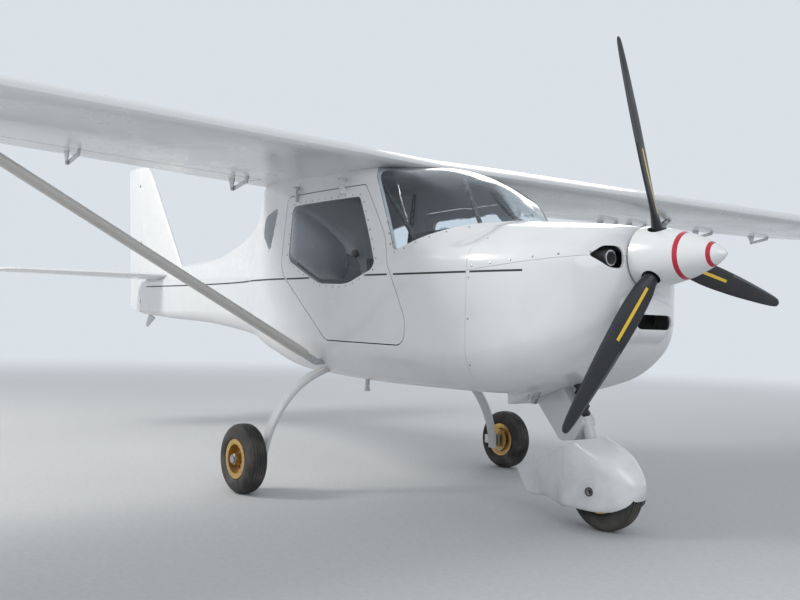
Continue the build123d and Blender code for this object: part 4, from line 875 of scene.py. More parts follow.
def buildPropeller():
    s = propSettings
    blades, stripes, strips = [], [], []
    turns = np.linspace(0, 2 * math.pi, 40, endpoint=False)
    for k in range(s["count"]):
        outward, ahead = bladeFrame(math.radians(s["firstAngle"] + 360 * k / s["count"]))
        places = np.concatenate([np.linspace(0.03, 0.24, 16), np.linspace(0.26, 0.83, 26),
                                 [0.84, 0.846, 0.851, 0.855, 0.8575]])
        rings = [[bladePoint(row, t, outward, ahead) for t in turns] for row in bladeRows(places)]
        blades.append(skin("blade", rings))
        # the blade's front is on the side where face points forward
        front = 1 if ahead.cross(outward).x > 0 else -1
        patches = ((s["stripe"], 20, s["stripeTurns"], stripes, 0.0004),
                   (s["strip"], 24, s["stripTurns"], strips, 0.0006))
        for reach, count, (low, high), target, lift in patches:
            outer, inner = [], []
            for row in bladeRows(np.linspace(*reach, count)):
                span = np.linspace(low, high, 7) * front
                outer.append([bladePoint(row, t, outward, ahead, lift) for t in span])
                grown = (row[0], row[1] - 0.0006, row[2], row[3])
                inner.append([bladePoint(grown, t, outward, ahead, -0.0008) for t in span])
            target.append(skin("patch", [o + i[::-1] for o, i in zip(outer, inner)]))
    centre = Vector((s["place"], 0, s["thrust"]))
    half = Vector((s["hubHalf"], 0, 0))
    hub = bar("hub", centre - half, centre + half, s["hubRadius"], 64)
    piece = joined("propellerBlades", [hub, *blades])
    dress(piece, "bladeBlack", "propeller_assembly", 50)
    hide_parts("propeller")
    dress(joined("bladeStripes", stripes), "stripeYellow", "propeller_assembly", 40)
    dress(joined("bladeGuards", strips), "guardFilm", "propeller_assembly", 40)

    length, radius = s["spinnerTip"] - s["spinnerRear"], s["spinnerRadius"]
    shares = 1 - (1 - np.linspace(0, 1, 60))**1.6
    squares = smoothCurve([u for u, _ in s["profile"]], [[v * v] for _, v in s["profile"]], shares)[:, 0]
    outside = [(u * length, radius * math.sqrt(max(0, v))) for u, v in zip(shares, squares)]
    edge = s["spinnerEdge"] - s["spinnerRear"]
    rim = float(np.interp(edge, [p[0] for p in outside], [p[1] for p in outside]))
    outside = [(edge, rim)] + [p for p in outside if p[0] > edge + 0.001]
    moved = [(u - 3 * s["wall"] * u / length, r) for u, r in outside[1:]]
    inside = [(edge, rim - s["wall"])]
    inside += [(u, r - s["wall"]) for u, r in moved if r > s["wall"] + 0.002 and u > edge]
    spinner = turned("spinner", outside + inside[::-1], (s["spinnerRear"], 0, s["thrust"]), (1, 0, 0), 128)
    tools = []
    for k in range(s["count"]):
        outward, _ = bladeFrame(math.radians(s["firstAngle"] + 360 * k / s["count"]))
        tools.append(bar("rootTool", centre + outward * 0.07, centre + outward * 0.2, s["rootHole"], 40))
    combine(spinner, tools)
    discard(*tools)
    dress(spinner, "spinnerPaint", "propeller_assembly", 35)
    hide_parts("spinner")
    profile = [(0, 0.031), (0, rim - 0.005), (0.005, rim - 0.005), (0.005, 0.05), (0.034, 0.05),
               (0.034, 0.031)]
    back = turned("spinnerBack", profile, (s["spinnerEdge"] + 0.002, 0, s["thrust"]), (1, 0, 0), 96)
    dress(back, "greyAlloy", "propeller_assembly", 30)
    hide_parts("spinner_plate")


addFinish("stripeYellow", dict(finishes["stripeRed"], colour=propSettings["stripeColour"]))
addFinish("guardFilm", dict(finishes["darkTrim"], colour=propSettings["stripColour"], rough=0.22))
addFinish("spinnerPaint", dict(finishes["gelCoat"], dust=0.3))
addRingPaint(materials["spinnerPaint"], propSettings["rings"], propSettings["ringColour"])
buildPropeller()
print("propeller made")

# Wings with their flaps and ailerons, in the wing's own section plane
wingSettings = {
    "lead": 1.384, "root": 1.604, "chord": 1.25, "dihedral": 1.57, "halfSpan": 4.925, "tipRound": 0.11,
    "section": [(1.0, 0.004), (0.86, 0.030), (0.68, 0.057), (0.5, 0.0745), (0.33, 0.083), (0.23, 0.079),
                (0.145, 0.062), (0.07, 0.041), (0.022, 0.0205), (0.0, 0.0), (0.022, -0.019), (0.07, -0.0265),
                (0.13, -0.031), (0.3, -0.035), (0.48, -0.0295), (0.66, -0.021), (1.0, 0.0)],
    "axis": (1.084, -0.07), "nose": 0.134, "gap": 0.008,
    "flap": (0.56, 2.55), "aileron": (2.566, 4.64),
    "flapArms": (0.657, 1.556, 2.42), "aileronArms": (2.76, 3.64, 4.48),
    "arm": [(0.905, 0), (0.938, 0), (0.948, -0.034), (1.09, -0.06), (1.078, -0.08), (0.925, -0.056)],
    "lug": [(1.055, -0.002), (1.125, -0.002), (1.094, -0.076), (1.074, -0.076)],
    "armSlot": [(0.88, -0.3), (1.098, -0.3), (1.098, 0.3), (0.88, 0.3)],
    "bossRadius": 0.011, "pinRadius": 0.0048, "strutPoint": (0.421, -0.0425, 2.39), "washout": 3.0,
    "washoutSpan": (0.5, 4.9),
}
lean = math.radians(wingSettings["dihedral"])
wingOut = Vector((0, math.cos(lean), math.sin(lean)))
wingUp = Vector((0, -math.sin(lean), math.cos(lean)))


def wingPoint(u, v, s):
    return Vector((wingSettings["lead"] - u, 0, wingSettings["root"])) + wingUp * v + wingOut * s


def wingPrism(name, outline, low, high):
    start = (wingSettings["lead"], 0, wingSettings["root"])
    return prism(name, outline, start, (-1, 0, 0), wingUp, low, high)


# The section turns nose down towards the tip, about the axis of the flaps and ailerons
def washedOut(u, v, s):
    low, high = wingSettings["washoutSpan"]
    turn = math.radians(wingSettings["washout"]) * max(0.0, s - low) / (high - low)
    cu, cv = wingSettings["axis"]
    ahead, above = cu - u, v - cv
    return (cu - ahead * math.cos(turn) - above * math.sin(turn),
            cv + above * math.cos(turn) - ahead * math.sin(turn))


strutFoot = Vector((0.963, 0.508, 0.628))
wingStrutPoint = wingPoint(*wingSettings["strutPoint"])
strutRise = Vector((0, wingStrutPoint.y - strutFoot.y, wingStrutPoint.z - strutFoot.z))
strutWay = strutRise.normalized()
strutTop = strutFoot + strutRise - strutWay * 0.046


def halfRound(radius):
    return [(radius * math.cos(a), radius * math.sin(a)) for a in np.linspace(math.pi / 2, 1.5 * math.pi, 16)]


# Plate square to x, round about its centre and reaching to a root
def lugPlate(name, centre, reach, radius=0.015, thick=0.01, shift=0.0):
    way = reach.normalized()
    line = halfRound(radius) + [(reach.length, -radius), (reach.length, radius)]
    return prism(name, line, centre, way, Vector((1, 0, 0)).cross(way), shift - thick / 2, shift + thick / 2)


def wingForm(name, low, high, spacing=0.06):
    w = wingSettings
    points = np.array(w["section"])
    along = np.concatenate([[0], np.cumsum(np.hypot(*np.diff(points, axis=0).T))])
    steps = np.concatenate([np.linspace(0, along[7], 34)[:-1], np.linspace(along[7], along[11], 18)[:-1],
                            np.linspace(along[11], along[-1], 24)])
    section = smoothCurve(along, points, steps)
    full = w["halfSpan"] / math.cos(lean)
    spans = list(np.linspace(low, min(high, full - w["tipRound"]), max(2, int((high - low) / spacing))))
    if high > full - w["tipRound"]:
        spans += [full - w["tipRound"] * (1 - math.sin(math.pi / 2 * k / 12)) for k in range(1, 12)]
        spans.append(full - 1e-4)
    rings = []
    for s in spans:
        inset = 0.0
        if s > full - w["tipRound"]:
            inset = w["tipRound"] - math.sqrt(max(0, w["tipRound"]**2 - (s - full + w["tipRound"])**2))
        near = min(1.0, max(0.0, full - s) / 0.05)
        thin = math.sqrt(max(0.0004, 1 - (1 - near)**2))
        scale = (w["chord"] - 2 * inset) / w["chord"]
        flat = [(inset + u * w["chord"] * scale, v * w["chord"] * thin) for u, v in section]
        rings.append([wingPoint(*washedOut(u, v, s), s) for u, v in flat])
    return skin(name, rings)


def surfaceOutline(grow):
    cx, cy = wingSettings["axis"]
    radius = wingSettings["nose"] + grow
    arc = [(cx - radius * math.sin(a), cy + radius * math.cos(a)) for a in np.linspace(0, math.pi, 40)]
    return arc + [(cx, -0.3), (1.34, -0.3), (1.34, 0.3), (cx, 0.3)]


def disc(radius, steps=24):
    cx, cy = wingSettings["axis"]
    return [(cx + radius * math.cos(a), cy + radius * math.sin(a))
            for a in np.linspace(0, 2 * math.pi, steps, endpoint=False)]


def buildWing():
    w = wingSettings
    wing = wingForm("wingLeft", 0.004, 5.0)
    tools = [bodySkin("rootTool", 0.05, 1.7, 0.0, 0.05)]
    for low, high in (w["flap"], w["aileron"]):
        tools.append(wingPrism("coveTool", surfaceOutline(w["gap"]), low - w["gap"], high + w["gap"]))
    combine(wing, tools)
    discard(*tools)
    surfaces = []
    for key, arms in (("flap", w["flapArms"]), ("aileron", w["aileronArms"])):
        low, high = w[key]
        surface = wingForm(key + "Left", low - 0.05, high + 0.05)
        tool = wingPrism("surfaceTool", surfaceOutline(0.0), low, high)
        combine(surface, [tool], "INTERSECT")
        discard(tool)
        lugs = []
        for s in arms:
            if key == "aileron":
                slot = wingPrism("slotTool", w["armSlot"], s - 0.008, s + 0.008)
                combine(surface, [slot])
                discard(slot)
            for outline in (w["lug"], disc(w["bossRadius"])):
                lugs.append(wingPrism("lug", outline, s + 0.005, s + 0.011))
        surfaces.append((key, surface, joined(key + "LugsLeft", lugs)))
    arms = []
    for s in w["flapArms"] + w["aileronArms"]:
        for outline in (w["arm"], disc(w["bossRadius"])):
            arms.append(wingPrism("arm", outline, s - 0.003, s + 0.003))
        arms.append(wingPrism("pin", disc(w["pinRadius"]), s - 0.004, s + 0.013))
    arms.append(lugPlate("strutTopLug", strutTop, wingStrutPoint + Vector((0, 0.03, 0.04)) - strutTop))
    bothSides(wing, "wing", "wingCloth", "airframe", 25, "wing_{}")
    bothSides(joined("surfaceArmsLeft", arms), "surfaceArms", "greyAlloy", "airframe")
    for key, surface, lugs in surfaces:
        body = key + "_{}_body"
        bothSides(surface, key + "Surface", "wingCloth", body, 25, key + "_{}")
        bothSides(lugs, key + "Lugs", "greyAlloy", body)


buildWing()
print("wings made")


# Streamlined ring: lead is its front point, back and side are its directions
def foilRing(lead, back, side, chord, thick, steps=26, trailing=0.005):
    lead, back, side = Vector(lead), Vector(back), Vector(side)
    shares = (1 - np.cos(np.linspace(0, math.pi, steps))) / 2
    half = [max(thick / 2 * (2.97 * math.sqrt(u) - 1.26 * u - 3.52 * u**2 + 2.84 * u**3 - 1.04 * u**4),
                trailing / 2 * u) for u in shares]
    near = [lead + back * (u * chord) + side * h for u, h in zip(shares, half)]
    far = [lead + back * (u * chord) - side * h for u, h in zip(shares, half)]
    return near + far[:0:-1]


# Wing struts, forked at both ends
# the struts are white; their colour below is that white darkened to grey as painted shade
strutSettings = {"chord": 0.116, "thick": 0.044, "noseShare": 0.4, "fork": 0.074, "cheek": 0.006,
                 "bolt": 0.006, "colour": (0.50, 0.485, 0.46)}


def hexBar(name, start, end, radius):
    return bar(name, start, end, radius, 6)


def buildStruts():
    s = strutSettings
    length = (strutTop - strutFoot).length
    side = strutWay.cross(Vector((-1, 0, 0)))
    rings = []
    for at, share in ((0, 0.72), (0.01, 0.88), (0.03, 0.97), (0.07, 1)):
        rings.append((s["fork"] + at, share))
    rings += [(v, 1) for v in np.linspace(s["fork"] + 0.2, length - s["fork"] - 0.2, 6)]
    rings += [(length - place, share) for place, share in rings[3::-1]]
    nose = Vector((s["noseShare"] * s["chord"], 0, 0))
    form = skin("strutLeft", [foilRing(strutFoot + strutWay * v + nose * k, (-1, 0, 0), side, s["chord"] * k,
                                       s["thick"] * k) for v, k in rings])
    metal = []
    for centre, way in ((strutFoot, strutWay), (strutTop, -strutWay)):
        for hand in (1, -1):
            metal.append(lugPlate("cheek", centre, way * (s["fork"] + 0.02), 0.015, s["cheek"], hand * 0.008))
        ahead = Vector((1, 0, 0))
        metal += [bar("bolt", centre - ahead * 0.017, centre + ahead * 0.017, s["bolt"], 20),
                  hexBar("boltHead", centre + ahead * 0.0112, centre + ahead * 0.0165, 0.0105),
                  hexBar("nut", centre - ahead * 0.0112, centre - ahead * 0.0162, 0.0105)]
    metal = joined("strutForksLeft", metal)
    lug = lugPlate("strutLugLeft", strutFoot, Vector((0, -0.07, 0.008)))
    body = bodySkin("bodyTool", 0.8, 1.1, 0.0, 0.05)
    combine(lug, [body])
    discard(body)
    bothSides(form, "strutTube", "strutWhitePaintedShade", "airframe", 30, "strut_{}")
    bothSides(metal, "strutForks", "greyAlloy", "airframe", 30)
    bothSides(lug, "strutLug", "greyAlloy", "airframe", 30)


# strut finish: grey paint whose colour is the struts' white in painted shade
addFinish("strutWhitePaintedShade", dict(finishes["greyPaint"], colour=strutSettings["colour"]))
buildStruts()

# Door hinges
hingeSettings = {
    "stations": (0.702, 1.116), "y": 0.5, "z": 1.531, "pin": 0.0038,
    "rail": [(0.008, 0.008), (-0.06, 0.008), (-0.06, -0.008), (0.008, -0.008)],
    "railRadii": [0.008, 0.001, 0.001, 0.008],
    "arm": [(0.008, 0.008), (-0.008, 0.008), (-0.008, -0.034), (-0.046, -0.052), (-0.046, -0.072),
            (0.004, -0.072)],
    "armRadii": [0.008, 0.008, 0.002, 0.002, 0.002, 0.002],
}


def buildHinges():
    h = hingeSettings
    rails, arms = [], []
    railLine = roundedOutline(h["rail"], h["railRadii"])
    armLine = roundedOutline(h["arm"], h["armRadii"])
    for x in h["stations"]:
        origin = Vector((x, h["y"], h["z"]))
        rails += [prism("rail", railLine, origin, (0, 1, 0), (0, 0, 1), -0.013, -0.001),
                  bar("pin", (x - 0.015, h["y"], h["z"]), (x + 0.0145, h["y"], h["z"]), h["pin"], 16)]
        arms.append(prism("arm", armLine, origin, (0, 1, 0), (0, 0, 1), 0.001, 0.013))
    rail = joined("railLugsLeft", rails)
    body = bodySkin("bodyTool", 0.5, 1.3, 0.0, 0.05)
    combine(rail, [body])
    arm = joined("doorArmsLeft", arms)
    inner = bodySkin("innerTool", 0.5, 1.3, 0.003, 0.05)
    combine(arm, [inner])
    discard(body, inner)
    bothSides(rail, "railLugs", "greyAlloy", "airframe", 30)
    bothSides(arm, "doorArms", "greyAlloy", "door_{}_body", 30)


buildHinges()
print("struts and hinges made")

# Fin, rudder, tailplane and elevator
tailSettings = {
    "fin": [(0.88, -2.3, -2.8, 0.084), (1.222, -1.762, -2.834, 0.084), (2.05, -2.431, -2.925, 0.05),
            (2.106, -2.508, -2.925, 0.036), (2.124, -2.537, -2.925, 0.028), (2.13, -2.547, -2.925, 0.016)],
    "noses": [(0.88, 0.044), (1.222, 0.027), (2.05, 0.026), (2.13, 0.015)],
    "axis": ((-2.508, 0, 0.88), (-2.655, 0, 2.13)), "gap": 0.006, "finRoot": 1.222,
    "below": [(-2.44, 0.884), (-2.88, 0.962), (-2.88, 0.7), (-2.44, 0.7)],
    "finLugs": (1.48, 1.96), "tailLug": 0.985,
    "plane": [(0, -1.818, -2.615, 0.052), (1.13, -2.14, -2.588, 0.036), (1.19, -2.172, -2.581, 0.03),
              (1.208, -2.194, -2.575, 0.022), (1.216, -2.212, -2.57, 0.012)],
    "planeHeight": 1.177, "hingeX": -2.335, "elevatorNose": 0.019, "elevatorInner": 0.132, "tube": 0.015,
    "elevatorLugs": (0.32, 0.9), "lugRadius": 0.009, "lugThick": 0.01, "lugGap": 0.005, "pin": 0.0045,
    "bite": 0.009,
}
railLow, railHigh = (Vector(v) for v in tailSettings["axis"])
rudderLine = (railHigh - railLow).normalized()
rudderAhead = Vector((0, 1, 0)).cross(rudderLine)


def rudderPoint(z):
    return railLow + (railHigh - railLow) * ((z - railLow.z) / (railHigh.z - railLow.z))


# Fixed half of a hinge and the room for it in the moving half; up is the hinge line
def hingeLug(origin, ahead, line, reach):
    t = tailSettings
    radius, half = t["lugRadius"], t["lugThick"] / 2
    outline = halfRound(radius) + [(reach, -radius), (reach, radius)]
    plate = prism("lug", outline, origin, ahead, line.cross(ahead), -half, half)
    pinHalf = half + t["lugGap"] + t["bite"]
    return [plate, bar("pin", origin - line * pinHalf, origin + line * pinHalf, t["pin"], 16)]


def hingeNotch(origin, ahead, line, reach):
    t = tailSettings
    half = t["lugThick"] / 2 + t["lugGap"]
    rear = -t["lugRadius"] - t["lugGap"]
    outline = [(rear, -0.1), (reach, -0.1), (reach, 0.1), (rear, 0.1)]
    return prism("notch", outline, origin, ahead, line.cross(ahead), -half, half)


def rowsBetween(table, spacing=0.06):
    rows = []
    for low, high in zip(table, table[1:]):
        count = max(1, int((high[0] - low[0]) / spacing))
        rows += [tuple(a + (b - a) * k / count for a, b in zip(low, high)) for k in range(count)]
    return rows + [table[-1]]


def rudderRoom(gap):
    t = tailSettings
    rings = []
    for z, radius in rowsBetween(t["noses"]):
        centre = rudderPoint(z)
        rings.append([centre + Vector((math.cos(a), math.sin(a), 0)) * (radius + gap)
                      for a in np.linspace(0, 2 * math.pi, 40, endpoint=False)])
    nose = skin("noseTool", rings)
    low, high = rudderPoint(0.8), rudderPoint(2.2)
    behind = sidePrism("behindTool", [(low.x, 0.8), (high.x, 2.2), (-3.1, 2.2), (-3.1, 0.8)], None, -0.1, 0.1)
    return nose, behind


def buildFin():
    t = tailSettings
    rings = [foilRing((lead, 0, z), (-1, 0, 0), (0, 1, 0), lead - trail, thick, 34)
             for z, lead, trail, thick in rowsBetween(t["fin"])]
    fin = skin("finForm", rings)
    rudder = copyOf(fin, "rudderForm")
    nose, behind = rudderRoom(0.0)
    combine(nose, [behind], "UNION")
    combine(rudder, [nose], "INTERSECT")
    tools = [sidePrism("below", t["below"], None, -0.1, 0.1)]
    for z in (t["tailLug"], *t["finLugs"]):
        tools.append(hingeNotch(rudderPoint(z), rudderAhead, rudderLine, 0.08))
    combine(rudder, tools)
    discard(nose, behind, *tools)
    wide, rear = rudderRoom(t["gap"])
    body = bodySkin("bodyTool", bodySettings["tailEnd"] - 0.02, -1.6, 0.0, 0.05)
    under = boxPiece("under", (-3, -0.1, 0.7), (-1.5, 0.1, t["finRoot"] - 0.04))
    combine(fin, [wide, rear, body, under])
    discard(wide, rear, body, under)
    lugs = []
    for z in t["finLugs"]:
        lugs += hingeLug(rudderPoint(z), rudderAhead, rudderLine, 0.045)
    start = rudderPoint(t["tailLug"])
    lugs += hingeLug(start, rudderAhead, rudderLine, bodySettings["tailEnd"] - start.x + 0.012)
    dress(fin, "gelCoat", "airframe", 25)
    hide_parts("fin")
    dress(rudder, "gelCoat", "rudder_body", 25)
    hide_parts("rudder")
    dress(joined("rudderLugs", lugs), "greyAlloy", "airframe")


def buildTailplane():
    t = tailSettings
    z = t["planeHeight"]
    rings = [foilRing((lead, y, z), (-1, 0, 0), (0, 0, 1), lead - trail, thick, 34)
             for y, lead, trail, thick in rowsBetween(t["plane"])]
    plane = skin("planeForm", rings)
    surface = copyOf(plane, "elevatorForm")
    line, ahead = Vector((0, 1, 0)), Vector((1, 0, 0))

    def room(gap, low, high):
        radius = t["elevatorNose"] + gap
        outline = [(t["hingeX"] + radius * math.cos(a), z + radius * math.sin(a))
                   for a in np.linspace(-math.pi / 2, math.pi / 2, 28)]
        return sidePrism("roomTool", outline + [(t["hingeX"], z + 0.2), (-2.74, z + 0.2), (-2.74, z - 0.2),
                                                (t["hingeX"], z - 0.2)], None, low, high)

    kept = room(0.0, t["elevatorInner"], 1.3)
    combine(surface, [kept], "INTERSECT")
    tools = [hingeNotch(Vector((t["hingeX"], y, z)), ahead, line, 0.08) for y in t["elevatorLugs"]]
    combine(surface, tools)
    discard(kept, *tools)
    cut = room(t["gap"], -0.01, 1.3)
    body = bodySkin("bodyTool", bodySettings["tailEnd"] - 0.02, -1.6, 0.0, 0.05)
    combine(plane, [cut, body])
    discard(cut, body)
    lugs = []
    for y in t["elevatorLugs"]:
        lugs += hingeLug(Vector((t["hingeX"], y, z)), ahead, line, 0.037)
    lugs = joined("planeLugs", lugs)
    both = joined("tailplaneSkin", [plane, mirrorOf(plane, "otherPlane")])
    dress(both, "gelCoat", "airframe", 25)
    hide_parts("tailplane")
    reach = t["elevatorInner"] + 0.001
    tube = bar("tube", (t["hingeX"], -reach, z), (t["hingeX"], reach, z), t["tube"], 32)
    moving = joined("elevatorSkin", [tube, surface, mirrorOf(surface, "otherElevator")])
    dress(moving, "gelCoat", "elevator_body", 25)
    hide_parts("elevator")
    dress(joined("tailplaneLugs", [lugs, mirrorOf(lugs, "otherLugs")]), "greyAlloy", "airframe")


buildFin()
buildTailplane()
print("tail surfaces made")

# Wheels: grooved tyres, wheel bolts and hub nuts
wheelSettings = {
    "spots": (("main_left", (0.908, 0.872, 0.166), "main_wheel_left"),
              ("main_right", (0.908, -0.872, 0.166), "main_wheel_right"),
              ("nose", (2.384, 0, 0.166), "nose_wheel")),
    "half": [(0.04, 0.0765), (0.0402, 0.094), (0.0475, 0.1005), (0.052, 0.122), (0.049, 0.142),
             (0.038, 0.157), (0.022, 0.164), (0, 0.166)],
    "grooves": (0.0, 0.0135, 0.027), "grooveHalf": 0.0015, "grooveDepth": 0.003, "bolts": 6,
    "boltCircle": 0.05,
}


def tyreProfile():
    w = wheelSettings
    table = np.array(w["half"])
    along = np.concatenate([[0], np.cumsum(np.hypot(*np.diff(table, axis=0).T))])
    curve = smoothCurve(along, table, np.linspace(0, along[-1], 60))
    side = [tuple(p) for p in curve if p[0] > 0.031 or p[1] < 0.13]
    treadU = np.linspace(0.0305, 0.0, 24)
    order = np.argsort(curve[:, 0])
    wanted = [p for p in curve[order] if p[1] > 0.14]
    us, rs = [p[0] for p in wanted], [p[1] for p in wanted]
    tread = {round(float(u), 6): float(np.interp(u, us, rs)) for u in treadU
             if all(abs(u - g) > w["grooveHalf"] + 0.0006 for g in w["grooves"])}
    for g in w["grooves"]:
        r = float(np.interp(g, us, rs))
        for offset, drop in ((w["grooveHalf"] + 0.0005, 0), (w["grooveHalf"], w["grooveDepth"]),
                             (-w["grooveHalf"], w["grooveDepth"]), (-w["grooveHalf"] - 0.0005, 0)):
            if g + offset > -1e-9 or g > 0:
                tread[round(g + offset, 6)] = r - drop
    half = side + [(u, tread[u]) for u in sorted((u for u in tread if u > 0), reverse=True)]
    return half + [(-u, r) for u, r in half[::-1]]


def buildWheels():
    w = wheelSettings
    profile = tyreProfile()
    for name, place, body in w["spots"]:
        tyre = turned(name + "Tread", profile, place, (0, 1, 0), 128)
        dress(tyre, "tyreRubber", body, 28)
        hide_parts(name + "_tyre")
        metal = []
        across = Vector((0, 1, 0))
        for hand in ((1, -1) if name == "nose" else ((1,) if place[1] > 0 else (-1,))):
            for k in range(w["bolts"]):
                turn = 2 * math.pi * (k + 0.5) / w["bolts"]
                spot = Vector(place) + Vector((math.cos(turn), 0, math.sin(turn))) * w["boltCircle"]
                out = across * hand
                metal += [bar("washer", spot + out * 0.0055, spot + out * 0.0072, 0.0085, 20),
                          hexBar("bolt", spot + out * 0.007, spot + out * 0.0125, 0.0066)]
            stem = Vector(place) + Vector((0.058, hand * 0.012, 0.03))
            metal.append(bar("valve", stem, stem + Vector((0.002, hand * 0.022, 0.001)), 0.0035, 14))
        dress(joined(name + "Bolts", metal), "bareSteel", body, 30)
        if name != "nose":
            out = across if place[1] > 0 else -across
            end = Vector((place[0], out.y * 0.9225, place[2]))
            nut = joined(name + "Nut", [hexBar("nut", end, end + out * 0.011, 0.0215),
                                        bar("nutWasher", end - out * 0.0005, end + out * 0.0025, 0.024, 32)])
            dress(nut, "bareSteel", "airframe", 30)


buildWheels()

# Nose spat
spatSettings = {
    "rows": [  # station, half width, bottom, top, corner radius
        (1.842, 0.005, 0.236, 0.254, 0.003), (1.964, 0.01, 0.084, 0.272, 0.006),
        (2.06, 0.026, 0.09, 0.3, 0.018), (2.15, 0.066, 0.084, 0.4, 0.044),
        (2.25, 0.104, 0.08, 0.41, 0.09), (2.384, 0.105, 0.08, 0.366, 0.095),
        (2.47, 0.092, 0.088, 0.328, 0.085), (2.535, 0.062, 0.118, 0.26, 0.055),
        (2.56, 0.034, 0.158, 0.226, 0.03), (2.569, 0.012, 0.178, 0.208, 0.006)],
    "steer": (2.292, 0, 0.392), "lean": 21, "top": -0.036, "wall": 0.007, "wellRadius": 0.172,
    "axle": (2.384, 0, 0.166), "axleHole": 0.0125,
    "neck": [(-0.13, 0), (-0.13, 0.085), (-0.1, 0.064), (-0.07, 0.048), (-0.03, 0.037), (-0.03, 0)],
}
steerLean = math.radians(spatSettings["lean"])
steerWay = Vector((-math.sin(steerLean), 0, math.cos(steerLean)))
steerAhead = Vector((math.cos(steerLean), 0, math.sin(steerLean)))


def spatRings(places, wall=0.0, floor=None):
    rows = spatSettings["rows"]
    values = smoothCurve([r[0] for r in rows], [r[1:] for r in rows], places)
    rings = []
    for x, (half, low, high, radius) in zip(places, values):
        half, high = half - wall, high - wall
        low = low if floor is None else floor
        radius = max(0.0005, min(radius, half - 0.0004, (high - low) / 2 - 0.0004))
        under = min(radius, 0.022)
        corners = [(-half, low), (half, low), (half * 0.99, high), (-half * 0.99, high)]
        outline = roundedOutline(corners, [under, under, radius, radius], 0.0, 10)
        rings.append([(x, p[0], p[1]) for p in outline])
    return rings


def buildSpat():
    s = spatSettings
    places = np.concatenate([np.linspace(1.842, 2.06, 16)[:-1], np.linspace(2.06, 2.47, 34)[:-1],
                             np.linspace(2.47, 2.569, 18)])
    spat = skin("noseSpat", spatRings(places))
    well = skin("wellTool", spatRings(np.linspace(2.1, 2.552, 36), s["wall"], -0.02))
    neck = turned("neckForm", s["neck"], s["steer"], steerWay, 64)
    combine(spat, [neck], "UNION")
    discard(neck)
    remeshed(spat, 0.006, 10)
    axle, across = Vector(s["axle"]), Vector((0, 1, 0))
    disc = bar("discTool", axle - across * 0.2, axle + across * 0.2, s["wellRadius"], 96)
    combine(well, [disc], "INTERSECT")
    outline = [(-0.9, s["top"]), (0.9, s["top"]), (0.9, 0.7), (-0.9, 0.7)]
    top = prism("topTool", outline, s["steer"], steerAhead, steerWay, -0.3, 0.3)
    origin = Vector(s["steer"])
    collar = bar("collarTool", origin - steerWay * 0.062, origin, 0.022, 40)
    hole = bar("axleTool", axle - across * 0.2, axle + across * 0.2, s["axleHole"], 32)
    combine(spat, [well, top, collar, hole])
    discard(well, disc, top, collar, hole)
    dress(spat, "gelCoat", "nose_gear", 32)
    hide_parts("nose_spat")
    profile = [(0, 0.013), (0, 0.019), (0.0075, 0.0175), (0.0075, 0.013)]
    metal = [turned("axleRing", profile, axle + out * 0.1035, out, 40) for out in (across, -across)]
    dress(joined("axleRings", metal), "darkTrim", "nose_gear", 30)


buildSpat()
print("wheels and spat made")

# Seats: a shell with a base cushion and a back cushion on each
seatSettings = {
    "places": (0.232, -0.232), "width": 0.39,
    "shell": [(0.65, 0.56), (1.1, 0.56), (1.11, 0.735), (0.9, 0.712), (0.752, 0.775), (0.618, 1.2),
              (0.59, 1.2), (0.645, 0.76)],
    "shellRadii": [0.008, 0.02, 0.02, 0.15, 0.07, 0.012, 0.012, 0.06], "shellInset": 0.012,
    # each cushion: forward and height of its centre, way along it, length, thickness, channels
    "Base": (0.945, 0.758, (1, 0, 0.06), 0.37, 0.085, 4),
    "Back": (0.69, 1.01, (-0.29, 0, 1), 0.43, 0.08, 5),
}


def cushion(name, centre, along, length, width, thick, channels, channelDepth=0.1):
    centre, along = Vector(centre), Vector(along).normalized()
    across = Vector((0, 1, 0))
    up = along.cross(across).normalized()
    if up.x + up.z < 0:
        up = -up
    loops, segments = 40, 96
    rings = []
    for k in range(loops):
        slope = -math.pi / 2 + math.pi * (k + 0.5) / loops
        lift = math.copysign(abs(math.sin(slope))**0.8, math.sin(slope))
        spread = math.cos(slope)**0.32
        ring = []
        for j in range(segments):
            turn = 2 * math.pi * j / segments
            u = math.copysign(abs(math.cos(turn))**0.34, math.cos(turn)) * spread
            v = math.copysign(abs(math.sin(turn))**0.34, math.sin(turn)) * spread
            pull = 0.022 * (1 - v * v) * abs(u)**3, 0.022 * (1 - u * u) * abs(v)**3
            groove = sum(math.exp(-((u - (2 * c / channels - 1)) / 0.035)**2) for c in range(1, channels))
            crown = 1 - 0.22 * (u * u + v * v) / 2
            height = lift * crown * (1 - channelDepth * groove * (lift > 0) * (abs(v) < 0.93))
            height = max(height, -0.8)
            ring.append(centre + along * (length / 2 * (u - math.copysign(pull[0], u)))
                        + across * (width / 2 * (v - math.copysign(pull[1], v))) + up * (thick / 2 * height))
        rings.append(ring)
    return skin(name, rings)


def buildSeats():
    s = seatSettings
    for y, side in zip(s["places"], ("left", "right")):
        half = s["width"] / 2 - s["shellInset"]
        shell = sidePrism("seatShell", s["shell"], s["shellRadii"], y - half, y + half)
        room = bodySkin("roomTool", 0.45, 1.4, 0.026, 0.05)
        combine(shell, [room], "INTERSECT")
        discard(room)
        shell.name = "seatShell" + side.capitalize()
        dress(shell, "darkTrim", "airframe", 30)
        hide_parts("seat_" + side)
        for key in ("Base", "Back"):
            x, z, along, length, thick, channels = s[key]
            name = "seat" + key + side.capitalize()
            piece = cushion(name, (x, y, z), along, length, s["width"], thick, channels)
            dress(piece, "seatCloth", "airframe", 40)


buildSeats()
print("seats made")

# Main legs: bowed and tapered
legSettings = {
    "x": 0.908, "width": (0.083, 0.054), "thick": (0.029, 0.021),
    "path": [(0.3, 0.628), (0.42, 0.59), (0.52, 0.545), (0.6, 0.487), (0.67, 0.408), (0.72, 0.322),
             (0.75, 0.24), (0.764, 0.165), (0.766, 0.122)],
}


